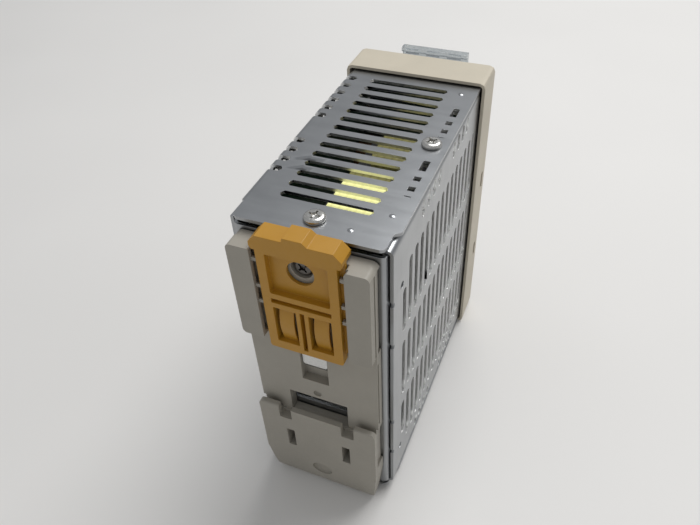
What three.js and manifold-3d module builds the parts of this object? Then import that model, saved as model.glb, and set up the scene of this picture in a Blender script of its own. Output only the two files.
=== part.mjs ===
// DIN rail power supply: a slotted sheet-metal case with a moulded front, two
// hinged terminal covers, and a moulded rear base whose slider locks on a rail.
// Millimetres. +X is to the unit's right seen from the rail side, +Y is the
// front with the terminals, -Y is the rail side and +Z is up. The unit stands
// with its rail slider at the top. The origin is the middle of its footprint.

import * as THREE from 'three';
import { mergeVertices } from 'three/addons/utils/BufferGeometryUtils.js';
import Module from 'manifold-3d';

// ---------------------------------------------------------------- sizes

const WIDTH = 50;
const HEIGHT = 115;
const DEPTH = 121.3;
const FIT = 0.3;
const SNUG = 0.1;

// Moulded front
const BEZEL_SKIRT = 14;
const BEZEL_WALL = 1.1;
const BEZEL_CORNER = 2;
const BEZEL_FRONT_WALL = 2;
const CASE_TO_BEZEL = 0.5;
const SNAP_SLOT = { width: 2.5, length: 7, fromBack: 10, heights: [35, 70] };
const FASCIA_STEP = 8;
const FASCIA_WALL = 2;
const FASCIA_SIDE = 1.6;
const TERMINAL_ZONE = 29;
const LABEL = { width: 30, margin: 6, thickness: 0.6, offset: -5 };
const LED = { radius: 1.5, proud: 0.6, x: 17, fromTop: 10 };
const TRIMMER = { body: 7, depth: 6, rotor: 2.2, x: 17, fromTop: 22, recess: 0.6, notch: 0.8, pivotDepth: 2 };

// Terminals and their covers
const POLE_PITCH = 8;
const INPUT_POLES = 3;
const OUTPUT_POLES = 4;
const BLOCK_MARGIN = 0.5;
const BLOCK_HEIGHT = 18;
const BLOCK_INSET = 4.4;
const TERMINAL_SCREW = { head: 2.2, headLength: 2, shank: 1.5, bore: 0.4, recess: 1.2 };
const CLAMP = { width: 5.2, height: 4.6, depth: 5, wall: 1, threadDepth: 1.5 };
const WIRE_ENTRY = 3.6;
const COVER_PLATE = 1.6;
const COVER_STEP = 4.3;
const COVER_FLAP = 4.2;
const COVER_OVERHANG = 2.2;
const COVER_NOTCH = { width: 3, depth: 1.2 };
const HINGE = { barrel: 1.5, stub: 0.8, lug: 2, boss: 1.9, drop: 2.6 };

// Sheet-metal case
const SHEET = 1;
const BEND = 1.8;
const CASE_INSERT = 10;
const FLANGE = 5.5;
const BACK_RETURN = 8;
const SIDE_SETBACK = 1.8;
const CORNER_STEP = { inward: 1.7, from: 8.8, run: 2.3, drop: 0.9 };
const SLOT_PITCH = 5.25;
const SLOT_WIDTH = 2.9;
const TOP_SLOT_HALF = 13.9;
const FIRST_TOP_SLOT = 6.1;
const LAST_TOP_SLOT_MARGIN = 13;
const SIDE_SLOT_WIDTH = 3.2;
const SIDE_SLOT_PITCH = 5.12;
const FIRST_SIDE_SLOT = 5;
const LAST_SIDE_SLOT_MARGIN = 10;
const SIDE_ROWS = { count: 3, bottom: 13, topMargin: 15.6, gap: 4.6 };
const BEND_SLOT = { inset: 2.5, length: 5.9 };
const BEND_SLOT_GROUPS = [[2, 3, 4, 5], [8, 9, 10, 11]];
const LEFT_BEND_SLOTS = [0, 1, 2, 3, 4, 5, 8, 9, 10, 11];
const LEFT_BEND_REACH = 4.9;
const FLANGE_SLOT = 2.3;
const SIDE_HOLE = { radius: 1.25, fromBack: 7, heights: [16, 94.5] };

// Case screws, with their heads on the outside
const CASE_SCREW = { head: 3.1, headHeight: 1.4, shank: 1.3, length: 6 };
const SIDE_SCREW = { inset: 5.1, behindBezel: 38.3 };
const BACK_SCREW_INSET = 6;
const BACK_TAB = { width: 12, depth: 10 };

// Rail base
const BASE_DEPTH = 7.2;
const BASE_HALF = 20.4;
const BASE_TOP = 5.2;
const PLATE_THICKNESS = 3.4;
const PLATE_CORNER = 2;
const RAIL_EDGE_GAP = 31.5;
const HOOK_TOP = 42;
const HOOK_LIP = 1.8;
const HOOK_GROOVE = 4.6;
const HOOK_OPENING = { half: 10, below: 2, above: 6 };
const LIP_NOTCH = { width: 4.4, x: 11, depth: 5.7 };
const HOOK_HOLE = { width: 2.8, height: 9, x: 10, bottom: 21.2, depth: 4.5 };
const HOOK_DIMPLE = { radius: 3.7, z: 10.6, depth: 1 };
const HOOK_TAPER = { z: 16, back: 1.8, side: 1.6 };
const HOOK_FOOT = { z: 2, back: 4, side: 2 };
const BASE_WINDOW = { half: 4.45, bottom: 56.3, height: 14 };
const PLATE_DIMPLE = { radius: 1.4, z: 50.4, depth: 0.8 };
const BLOCK = { inner: 13.4, rise: 2, lip: 1.2, chamfer: 1 };
const BLOCK_LIPS = [{ from: 14.2, to: 15.4 }, { from: 20.2, to: 21.4 }, { from: 29.8, to: 31 }];
const SIDE_RECESS = { bottom: 21, top: 41, depth: 0.8, inset: 2 };

// Rail slider
const SLIDER_HALF = 11.6;
const SLIDER_THICKNESS = 3;
const SLIDER_TOP = 5.8;
const WING = { reach: 1.5, thickness: 1 };
const CAP = { half: 14, depth: 6, shoulder: 3, bump: 2.6, bumpRise: 1.4, bumpSlope: 1 };
const POCKET = { half: 9, bottom: 22.5, height: 14, depth: 1.6, hole: 4, holeZ: 31 };
const SLIDER_SLOT = { half: 9, bottom: 18.8, height: 1.8 };
const SLIDER_WINDOW = { inner: 1.9, outer: 8.8, bottom: 3.3, height: 13.6 };
const LEAF = { width: 4.5, thickness: 0.8, bulge: 1.4 };
const CENTRE_SLOT = { half: 0.6, bottom: 1.7, height: 15.3 };

// Fixings of the base
const BASE_SCREW = { head: 2.9, headHeight: 1.6, shank: 1.4, length: 6, fromTop: 5.8 };
const TONGUE = { half: 4, thickness: 1, height: 7, foot: 1.6 };

// Inside
const BOARD = { thickness: 1.6, fromSheets: 2.1, margin: 5.5 };
const STANDOFF = { radius: 3, bore: 1.6, inset: 5 };
const BOARD_SCREW = { head: 2.8, headHeight: 1.6, shank: 1.3, length: 3.4 };
const SHEET_INSULATOR = { thickness: 0.3, hole: 3.4 };
const FRONT_BOARD = { thickness: 1.6, behindWall: 6.4, sideGap: 0.9 };
const FERRITE = { yoke: 5, leg: 4.5, centre: 5 };
const TRANSFORMER = { inset: 6.6, below: 3, height: 31.6, depth: 30, ferrite: 16 };
const CHOKE = { gap: 3, below: 7.6, height: 24, depth: 25, ferrite: 13 };
const CAN_EDGE = 0.9;
const WINDING_HALF = 6.4;
const WINDING_X = 4.6;
const BULK = { radius: 11, length: 36, y: 24, z: 27 };
const OUTPUT_CAP = { radius: 6.5, length: 28, y: 56, z: [20, 36] };
const MAINS_CHOKE = { outer: 9, inner: 4, length: 14, y: 12.5, z: 82 };
const FILM_CAP = { length: 18, width: 8, height: 14, y: 7, z: 46 };
const FUSE = { radius: 2.6, length: 20, y: 8, z: 18, lift: 0.6 };
const RECTIFIER = { width: 20, height: 16, depth: 4.5, z: 46 };
const HEAT_SINK = { plate: 3, length: 34, bottom: 12, foot: 7, clearance: 7, behindCans: 0.9 };
const POWER_PART = { width: 15, height: 20, depth: 4.6, z: 24 };
const POWER_PART_LIFT = 2;

const ROUND = 20;
const FINE_ROUND = 12;
const SLOT_END = 3;
const QUARTER = Math.PI / 2;
const CORNER_STEPS = 1;

// -------------------------------------------------- places worked out

const FRONT = DEPTH / 2;
const REAR = -DEPTH / 2;
const FASCIA_Y = FRONT - COVER_STEP;
const BEZEL_FRONT = FASCIA_Y - FASCIA_STEP;
const BEZEL_BACK = BEZEL_FRONT - BEZEL_SKIRT;
const HALF = WIDTH / 2;

const CASE_HALF = HALF - BEZEL_WALL - CASE_TO_BEZEL;
const CASE_BOTTOM = BEZEL_WALL + CASE_TO_BEZEL;
const CASE_TOP = HEIGHT - BEZEL_WALL - CASE_TO_BEZEL;
const CASE_BACK = REAR + BASE_DEPTH;
const CASE_FRONT = BEZEL_BACK + CASE_INSERT;
const SIDE_BACK = CASE_BACK + SIDE_SETBACK;

const BASE_FRONT = CASE_BACK - FIT;
const PLATE_FACE = BASE_FRONT - PLATE_THICKNESS;
const BASE_HEIGHT = HEIGHT - BASE_TOP;
const SLIDER_BOTTOM = HOOK_TOP + RAIL_EDGE_GAP;
const SLIDER_CROWN = BASE_HEIGHT + SLIDER_TOP;
const SLIDER_BACK = PLATE_FACE - FIT;

const BOARD_LEFT = -CASE_HALF + SHEET * 2 + BOARD.fromSheets;
const BOARD_RIGHT = BOARD_LEFT + BOARD.thickness;
const PARTS_LEFT = BOARD_RIGHT + FIT;
const FRONT_BOARD_Y = BEZEL_FRONT - FRONT_BOARD.behindWall;
const BOARD_FRONT = FRONT_BOARD_Y - FRONT_BOARD.thickness - FIT;
const BOARD_BACK = CASE_BACK + SHEET + BACK_TAB.depth / 2;
const BOARD_BOTTOM = CASE_BOTTOM + SHEET + BOARD.margin;
const BOARD_TOP = CASE_TOP - SHEET - BOARD.margin;
const PARTS_TOP = CASE_TOP - SHEET;

// ------------------------------------------------------------ solids

const wasm = await Module();
wasm.setup();

function solid(geometry) {
  geometry.deleteAttribute('normal');
  geometry.deleteAttribute('uv');
  const merged = mergeVertices(geometry);
  return new wasm.Manifold(new wasm.Mesh({
    numProp: 3,
    vertProperties: new Float32Array(merged.attributes.position.array),
    triVerts: new Uint32Array(merged.index.array),
  }));
}

function box(x, y, z) {
  const geometry = new THREE.BoxGeometry(x[1] - x[0], y[1] - y[0], z[1] - z[0]);
  geometry.translate((x[0] + x[1]) / 2, (y[0] + y[1]) / 2, (z[0] + z[1]) / 2);
  return solid(geometry);
}

function swept(shape, length) {
  const options = { depth: length, bevelEnabled: false, curveSegments: CORNER_STEPS };
  return new THREE.ExtrudeGeometry(shape, options);
}

// A shape drawn in X and Y, standing from z[0] to z[1]
function alongZ(shape, z) {
  const geometry = swept(shape, z[1] - z[0]);
  geometry.translate(0, 0, z[0]);
  return solid(geometry);
}

// A shape drawn in X and Z, running from y[0] to y[1]
function alongY(shape, y) {
  const geometry = swept(shape, y[1] - y[0]);
  geometry.rotateX(QUARTER);
  geometry.translate(0, y[1], 0);
  return solid(geometry);
}

// A shape drawn in Y and Z, running from x[0] to x[1]
function alongX(shape, x) {
  const geometry = swept(shape, x[1] - x[0]);
  geometry.rotateX(QUARTER);
  geometry.rotateZ(QUARTER);
  geometry.translate(x[0], 0, 0);
  return solid(geometry);
}

function outline(points) {
  return new THREE.Shape(points.map(([u, v]) => new THREE.Vector2(u, v)));
}

function rectangle(u, v) {
  return outline([[u[0], v[0]], [u[1], v[0]], [u[1], v[1]], [u[0], v[1]]]);
}

// A rectangle whose four corners have the radii given, from bottom left round
function rounded(u, v, radii) {
  const [a, b, c, d] = Array.isArray(radii) ? radii : [radii, radii, radii, radii];
  const shape = new THREE.Shape();
  shape.moveTo(u[0] + a, v[0]);
  shape.lineTo(u[1] - b, v[0]);
  if (b > 0) shape.absarc(u[1] - b, v[0] + b, b, -QUARTER, 0);
  shape.lineTo(u[1], v[1] - c);
  if (c > 0) shape.absarc(u[1] - c, v[1] - c, c, 0, QUARTER);
  shape.lineTo(u[0] + d, v[1]);
  if (d > 0) shape.absarc(u[0] + d, v[1] - d, d, QUARTER, Math.PI);
  shape.lineTo(u[0], v[0] + a);
  if (a > 0) shape.absarc(u[0] + a, v[0] + a, a, Math.PI, QUARTER * 3);
  return shape;
}

// A slot with rounded ends, which runs along whichever side is longer
function slotShape(u, v) {
  const radius = Math.min(u[1] - u[0], v[1] - v[0]) / 2;
  const upright = v[1] - v[0] > u[1] - u[0];
  const start = upright ? Math.PI : QUARTER;
  const ends = [[u[0] + radius, v[0] + radius, start], [u[1] - radius, v[1] - radius, start + Math.PI]];
  return outline(ends.flatMap(([x, y, from]) => range(SLOT_END + 1).map((step) => {
    const angle = from + (Math.PI * step) / SLOT_END;
    return [x + radius * Math.cos(angle), y + radius * Math.sin(angle)];
  })));
}

function disc(u, v, radius, sides = ROUND) {
  const points = [];
  for (let i = 0; i < sides; i += 1) {
    const angle = (2 * Math.PI * i) / sides;
    points.push([u + radius * Math.cos(angle), v + radius * Math.sin(angle)]);
  }
  return outline(points);
}

// A turned solid about an axis through the centre given; profile is [radius, along]
function turned(axis, centre, profile, sides = ROUND) {
  const points = profile.map(([radius, along]) => new THREE.Vector2(radius, along));
  const geometry = new THREE.LatheGeometry(points, sides);
  if (axis === 'X') geometry.rotateZ(-QUARTER);
  if (axis === 'Z') geometry.rotateX(QUARTER);
  geometry.translate(...centre);
  return solid(geometry);
}

function joined(solids) {
  return solids.reduce((whole, piece) => whole.add(piece));
}

function cut(body, tools) {
  return tools.length ? body.subtract(joined(tools)) : body;
}

function around(middle, size) {
  return [middle - size / 2, middle + size / 2];
}

// Two values in rising order, whichever way round they are given
function between(a, b) {
  return [Math.min(a, b), Math.max(a, b)];
}

function mirrored(side, near, far) {
  return between(side * near, side * far);
}

function rise(bottom, height) {
  return [bottom, bottom + height];
}

function range(count) {
  return Array.from({ length: count }, (_, index) => index);
}

// --------------------------------------------------------- materials

const finish = (color, roughness, metalness) => () =>
  new THREE.MeshStandardMaterial({ color, roughness, metalness });
const zinc = finish(0x8f9294, 0.35, 0.9);
const nickel = finish(0xb8b8b4, 0.3, 1);
const beige = finish(0xcdc3af, 0.55, 0);
const warmGrey = finish(0xb4aa98, 0.6, 0);
const mustard = finish(0xc3963a, 0.5, 0);
const terminalGreen = finish(0x3d4440, 0.6, 0);
const clearPlastic = finish(0xd8dcdc, 0.1, 0);
const boardGreen = finish(0x2c5a34, 0.6, 0);
const ferrite = finish(0x2b2b2d, 0.7, 0);
const yellowTape = finish(0xe8df6a, 0.5, 0);
const insulator = finish(0xd9d6c8, 0.5, 0);
const sleeve = finish(0x23283a, 0.4, 0);
const filmYellow = finish(0xd2b23c, 0.5, 0);
const copperWire = finish(0xa85f32, 0.4, 0.8);
const ceramic = finish(0xd9cdb8, 0.4, 0);
const epoxy = finish(0x1f1f21, 0.6, 0);
const aluminium = finish(0xb9bcbe, 0.4, 0.9);
const blueBody = finish(0x2a5aa0, 0.5, 0);
const ledLens = finish(0x9fd6a4, 0.2, 0);
const labelFilm = finish(0xd4d4d0, 0.5, 0);

const group = new THREE.Group();

function addNode(name, body, material) {
  const mesh = body.getMesh();
  const geometry = new THREE.BufferGeometry();
  geometry.setAttribute('position', new THREE.BufferAttribute(new Float32Array(mesh.vertProperties), 3));
  geometry.setIndex(new THREE.BufferAttribute(new Uint32Array(mesh.triVerts), 1));
  geometry.computeVertexNormals();
  const node = new THREE.Mesh(geometry, material());
  node.name = name;
  group.add(node);
}

// ------------------------------------------------- sheet-metal case

// Distances behind the bezel of the slots across the top and of the side columns
function slotRows(first, pitch, lastMargin) {
  const reach = BEZEL_BACK - CASE_BACK - lastMargin - first;
  return range(Math.floor(reach / pitch) + 1).map((index) => BEZEL_BACK - first - index * pitch);
}

const topRows = slotRows(FIRST_TOP_SLOT, SLOT_PITCH, LAST_TOP_SLOT_MARGIN);
const sideColumns = slotRows(FIRST_SIDE_SLOT, SIDE_SLOT_PITCH, LAST_SIDE_SLOT_MARGIN);
const bendColumns = BEND_SLOT_GROUPS.flat().filter((index) => index < sideColumns.length);

// Bottom and top of each row of side slots, and of the short slots by the bends
function sideRowSpans() {
  const pitch = (HEIGHT - SIDE_ROWS.topMargin - SIDE_ROWS.bottom + SIDE_ROWS.gap) / SIDE_ROWS.count;
  return range(SIDE_ROWS.count).map((row) => {
    const bottom = SIDE_ROWS.bottom + row * pitch;
    return [bottom, bottom + pitch - SIDE_ROWS.gap];
  });
}

function bendSpans() {
  const low = CASE_BOTTOM + BEND_SLOT.inset;
  const high = CASE_TOP - BEND_SLOT.inset;
  return [[low, low + BEND_SLOT.length], [high - BEND_SLOT.length, high]];
}

function sideSlots(x) {
  const rows = sideColumns.flatMap((y) => sideRowSpans().map((z) => [y, z]));
  const bends = bendColumns.flatMap((index) => bendSpans().map((z) => [sideColumns[index], z]));
  return [...rows, ...bends].map(([y, z]) => alongX(slotShape(around(y, SIDE_SLOT_WIDTH), z), x));
}

// Slots across the top or the bottom panel, with the small ones over the flange
function panelSlots(z) {
  const across = topRows.map((y) => slotShape([-TOP_SLOT_HALF, TOP_SLOT_HALF], around(y, SLOT_WIDTH)));
  const small = bendColumns.map((index) => flangeSlot(sideColumns[index]));
  return [...across, ...small].map((shape) => alongZ(shape, z));
}

function flangeSlot(y) {
  const middle = CASE_HALF - FLANGE / 2 - SHEET;
  return rectangle(around(middle, FLANGE_SLOT), around(y, FLANGE_SLOT));
}

// The short slots that run over the bend between the left side and a panel
function leftBendSlots(z) {
  const rows = LEFT_BEND_SLOTS.filter((index) => index < topRows.length);
  const x = [-CASE_HALF - SHEET, -CASE_HALF + LEFT_BEND_REACH];
  return rows.map((index) => alongZ(slotShape(x, around(topRows[index], SLOT_WIDTH)), z));
}

function caseScrewPlaces() {
  const side = [CASE_HALF - SIDE_SCREW.inset, BEZEL_BACK - SIDE_SCREW.behindBezel];
  const back = [0, CASE_BACK + BACK_SCREW_INSET];
  return { side, back };
}

function screwHoles(z) {
  const radius = CASE_SCREW.shank + FIT;
  return Object.values(caseScrewPlaces()).map(([x, y]) => alongZ(disc(x, y, radius, FINE_ROUND), z));
}

// The plan of the top and bottom panels, stepped in at the two rear corners
function panelPlan() {
  const step = CORNER_STEP;
  const narrow = CASE_HALF - step.inward;
  const stepY = CASE_BACK + step.from;
  const shape = new THREE.Shape();
  shape.moveTo(-CASE_HALF, CASE_FRONT);
  shape.lineTo(-CASE_HALF, stepY);
  shape.lineTo(-narrow, stepY - step.run);
  shape.lineTo(-narrow, CASE_BACK + BEND);
  shape.absarc(-narrow + BEND, CASE_BACK + BEND, BEND, Math.PI, QUARTER * 3);
  shape.lineTo(narrow - BEND, CASE_BACK);
  shape.absarc(narrow - BEND, CASE_BACK + BEND, BEND, -QUARTER, 0);
  shape.lineTo(narrow, stepY - step.run);
  shape.lineTo(CASE_HALF, stepY);
  shape.lineTo(CASE_HALF, CASE_FRONT);
  return shape;
}

// One sheet: the top and bottom panels and the left side between them
function caseWrap() {
  const inner = BEND - SHEET;
  const outside = rounded([-CASE_HALF, CASE_HALF], [CASE_BOTTOM, CASE_TOP], [BEND, 0, 0, BEND]);
  const insideX = [-CASE_HALF + SHEET, CASE_HALF + SHEET];
  const inside = rounded(insideX, [CASE_BOTTOM + SHEET, CASE_TOP - SHEET], [inner, 0, 0, inner]);
  const profile = alongY(outside, [CASE_BACK, CASE_FRONT]);
  const hollow = alongY(inside, [CASE_BACK - SHEET, CASE_FRONT + SHEET]);
  const plan = alongZ(panelPlan(), [CASE_BOTTOM - SHEET, CASE_TOP + SHEET]);
  const sideX = [-CASE_HALF - SHEET, -CASE_HALF + SHEET];
  const sideZ = [CASE_BOTTOM + SHEET + CORNER_STEP.drop, CASE_TOP - SHEET - CORNER_STEP.drop];
  const side = box(sideX, [SIDE_BACK, CASE_FRONT + SHEET], sideZ);
  const bent = profile.subtract(hollow).intersect(plan.add(side));
  const above = [CASE_TOP - BEND, CASE_TOP + SHEET];
  const below = [CASE_BOTTOM - SHEET, CASE_BOTTOM + BEND];
  const tools = [above, below].flatMap((z) => [...panelSlots(z), ...leftBendSlots(z), ...screwHoles(z)]);
  const slotX = [-CASE_HALF - SHEET, -CASE_HALF + BEND];
  return cut(bent, [...tools, ...sideSlots(slotX)]);
}

// The right side, closed by short flanges that lie under the two panels
function rightCover() {
  const inner = BEND - SHEET;
  const z = [CASE_BOTTOM + SHEET + FIT, CASE_TOP - SHEET - FIT];
  const x = [CASE_HALF - FLANGE, CASE_HALF];
  const outside = rounded(x, z, [0, BEND, BEND, 0]);
  const insideX = [x[0] - SHEET, CASE_HALF - SHEET];
  const inside = rounded(insideX, [z[0] + SHEET, z[1] - SHEET], [0, inner, inner, 0]);
  const profile = alongY(outside, [SIDE_BACK, CASE_FRONT]);
  const hollow = alongY(inside, [SIDE_BACK - SHEET, CASE_FRONT + SHEET]);
  const wall = [CASE_HALF - BEND, CASE_HALF + SHEET];
  const flanges = [[z[0] - SHEET, z[0] + BEND], [z[1] - BEND, z[1] + SHEET]];
  const small = flanges.flatMap((span) => bendColumns.map((i) => alongZ(flangeSlot(sideColumns[i]), span)));
  const holes = flanges.flatMap(screwHoles);
  const round = SIDE_HOLE.heights.map((height) => {
    const y = SIDE_BACK + SIDE_HOLE.fromBack;
    return alongX(disc(y, height, SIDE_HOLE.radius, FINE_ROUND), wall);
  });
  return cut(profile.subtract(hollow), [...sideSlots(wall), ...small, ...holes, ...round]);
}

// The rear wall, with a return inside each side and a tab under each panel
function backWall() {
  const half = CASE_HALF - SHEET - FIT;
  const z = [CASE_BOTTOM + SHEET + FIT, CASE_TOP - SHEET - FIT];
  const y = [CASE_BACK, CASE_BACK + BACK_RETURN];
  const inner = BEND - SHEET;
  const outside = rounded([-half, half], y, [BEND, BEND, 0, 0]);
  const inside = rounded([-half + SHEET, half - SHEET], [y[0] + SHEET, y[1] + SHEET], [inner, inner, 0, 0]);
  const trim = z.map((level, index) => level + (index ? -1 : 1) * (SHEET + FIT));
  const wall = alongZ(outside, trim).subtract(alongZ(inside, [trim[0] - SHEET, trim[1] + SHEET]));
  const tabX = around(0, BACK_TAB.width);
  const tabY = [CASE_BACK, CASE_BACK + BACK_TAB.depth];
  const tabs = [[z[0], z[0] + SHEET], [z[1] - SHEET, z[1]]].map((span) => box(tabX, tabY, span));
  const risers = [[z[0], trim[0] + SHEET], [trim[1] - SHEET, z[1]]].map((span) => {
    return box(tabX, [CASE_BACK, CASE_BACK + SHEET], span);
  });
  const holes = [[0, CASE_BOTTOM + BEND * 2], [CASE_TOP - BEND * 2, HEIGHT]].flatMap(screwHoles);
  const through = [CASE_BACK - SHEET, CASE_BACK + BEND];
  const fixing = alongY(disc(0, baseScrewHeight(), BASE_SCREW.shank + FIT, FINE_ROUND), through);
  return cut(joined([wall, ...tabs, ...risers]), [...holes, fixing, hookOpening(through)]);
}

function screwProfile(screw, dome) {
  const { head, headHeight, shank, length } = screw;
  const stem = [[0, -length], [shank, -length], [shank, 0]];
  return [...stem, [head, 0], [head, headHeight - dome], [head - dome, headHeight], [0, headHeight]];
}

function caseScrew(place, top) {
  const level = top ? CASE_TOP + SNUG : CASE_BOTTOM - SNUG;
  const profile = screwProfile(CASE_SCREW, CASE_SCREW.headHeight / 2);
  const facing = top ? profile : profile.map(([radius, along]) => [radius, -along]).reverse();
  return turned('Z', [...place, level], facing, FINE_ROUND);
}

// -------------------------------------------------------- rail base

function baseScrewHeight() {
  return BASE_HEIGHT - BASE_SCREW.fromTop;
}

// The hook's side view: its lower end slopes back towards the case
function hookSide() {
  const rear = [[REAR, HOOK_TOP], [REAR, HOOK_TAPER.z], [REAR + HOOK_TAPER.back, HOOK_FOOT.z]];
  return outline([[BASE_FRONT, HOOK_TOP], ...rear, [REAR + HOOK_FOOT.back, 0], [BASE_FRONT, 0]]);
}

function hookFront() {
  const lower = BASE_HALF - HOOK_TAPER.side;
  const foot = BASE_HALF - HOOK_FOOT.side;
  const right = [[foot, 0], [lower, HOOK_FOOT.z], [BASE_HALF, HOOK_TAPER.z], [BASE_HALF, HOOK_TOP]];
  const left = right.map(([x, z]) => [-x, z]).reverse();
  return outline([...right, ...left]);
}

// The opening behind the hook's groove, which also goes through the back wall
function hookOpening(y) {
  const z = [HOOK_TOP - HOOK_OPENING.below, HOOK_TOP + HOOK_OPENING.above];
  return box([-HOOK_OPENING.half, HOOK_OPENING.half], y, z);
}

// A guide block beside the slider, with lips that hold the slider's wings
function guideBlock(side) {
  const x = mirrored(side, BLOCK.inner, BASE_HALF);
  const z = [SLIDER_BOTTOM + BLOCK.rise, BASE_HEIGHT];
  const corners = side > 0 ? [0, BLOCK.chamfer, BLOCK.chamfer, 0] : [BLOCK.chamfer, 0, 0, BLOCK.chamfer];
  const body = alongY(rounded(x, z, corners), [REAR, PLATE_FACE + SHEET]);
  const lipX = mirrored(side, SLIDER_HALF + FIT, BLOCK.inner + SHEET);
  const wingTop = PLATE_FACE - FIT - WING.thickness - FIT;
  const lips = BLOCK_LIPS.map(({ from, to }) => box(lipX, [REAR, wingTop], [z[0] + from, z[0] + to]));
  return joined([body, ...lips]);
}

function rearBase() {
  const plateX = [-BASE_HALF, BASE_HALF];
  const plateShape = rounded(plateX, [HOOK_TAPER.z, BASE_HEIGHT], [0, 0, PLATE_CORNER, PLATE_CORNER]);
  const plate = alongY(plateShape, [PLATE_FACE, BASE_FRONT]);
  const hook = alongX(hookSide(), plateX).intersect(alongY(hookFront(), [REAR - SHEET, CASE_BACK]));
  const inside = REAR + HOOK_LIP;
  const groove = box([-HALF, HALF], [inside, PLATE_FACE], [HOOK_TOP - HOOK_GROOVE, HOOK_TOP + SHEET]);
  const opening = hookOpening([PLATE_FACE - SHEET, CASE_BACK]);
  const windowZ = rise(BASE_WINDOW.bottom, BASE_WINDOW.height);
  const window = box([-BASE_WINDOW.half, BASE_WINDOW.half], [PLATE_FACE - SHEET, CASE_BACK], windowZ);
  const tools = [groove, opening, window];
  tools.push(alongY(disc(0, PLATE_DIMPLE.z, PLATE_DIMPLE.radius, FINE_ROUND),
    [PLATE_FACE - SHEET, PLATE_FACE + PLATE_DIMPLE.depth]));
  tools.push(alongY(disc(0, HOOK_DIMPLE.z, HOOK_DIMPLE.radius), [REAR - SHEET, REAR + HOOK_DIMPLE.depth]));
  for (const side of [-1, 1]) {
    const notchX = around(side * LIP_NOTCH.x, LIP_NOTCH.width);
    tools.push(box(notchX, [REAR - SHEET, inside + SHEET], [HOOK_TOP - LIP_NOTCH.depth, HOOK_TOP + SHEET]));
    const holeX = around(side * HOOK_HOLE.x, HOOK_HOLE.width);
    const holeZ = rise(HOOK_HOLE.bottom, HOOK_HOLE.height);
    tools.push(box(holeX, [REAR - SHEET, REAR + HOOK_HOLE.depth], holeZ));
    const recessX = mirrored(side, BASE_HALF - SIDE_RECESS.depth, BASE_HALF + SHEET);
    const recessY = [REAR + SIDE_RECESS.inset, CASE_BACK];
    tools.push(box(recessX, recessY, [SIDE_RECESS.bottom, SIDE_RECESS.top]));
  }
  const seat = PLATE_FACE + BASE_SCREW.headHeight + FIT * 2;
  tools.push(alongY(disc(0, baseScrewHeight(), BASE_SCREW.head + FIT), [REAR - SHEET, seat]));
  tools.push(alongY(disc(0, baseScrewHeight(), BASE_SCREW.shank + FIT, FINE_ROUND), [REAR, CASE_BACK]));
  return cut(joined([plate, hook, guideBlock(-1), guideBlock(1)]), tools);
}

function baseScrew() {
  const headFront = PLATE_FACE + FIT + BASE_SCREW.headHeight;
  const profile = screwProfile(BASE_SCREW, BASE_SCREW.headHeight / 2);
  const screw = turned('Z', [0, 0, 0], profile, FINE_ROUND);
  return screw.rotate([90, 0, 0]).translate([0, headFront, baseScrewHeight()]);
}

// A sheet tongue that closes the window from behind and carries the slider's detent
function detentTongue() {
  const { half, thickness, height, foot } = TONGUE;
  const top = BASE_WINDOW.bottom + BASE_WINDOW.height - FIT;
  const back = BASE_FRONT - foot - thickness;
  const corner = half / 2;
  const shape = rounded([-half, half], [top - height, top], [corner, corner, 0, 0]);
  const blade = alongY(shape, rise(back, thickness));
  const root = box([-half, half], [back, BASE_FRONT], [top - thickness, top]);
  return blade.add(root);
}

// ------------------------------------------------------- rail slider

function leafSpring(side) {
  const middle = (side * (SLIDER_WINDOW.inner + SLIDER_WINDOW.outer)) / 2;
  const bottom = SLIDER_BOTTOM + SLIDER_WINDOW.bottom - SHEET;
  const top = bottom + SLIDER_WINDOW.height + SHEET * 2;
  const outer = SLIDER_BACK - SLIDER_THICKNESS + FIT + LEAF.bulge;
  const inner = outer + LEAF.thickness;
  const bow = LEAF.bulge * 2;
  const centre = (bottom + top) / 2;
  const shape = new THREE.Shape();
  shape.moveTo(outer, bottom);
  shape.quadraticCurveTo(outer - bow, centre, outer, top);
  shape.lineTo(inner, top);
  shape.quadraticCurveTo(inner - bow, centre, inner, bottom);
  return alongX(shape, around(middle, LEAF.width));
}

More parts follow.
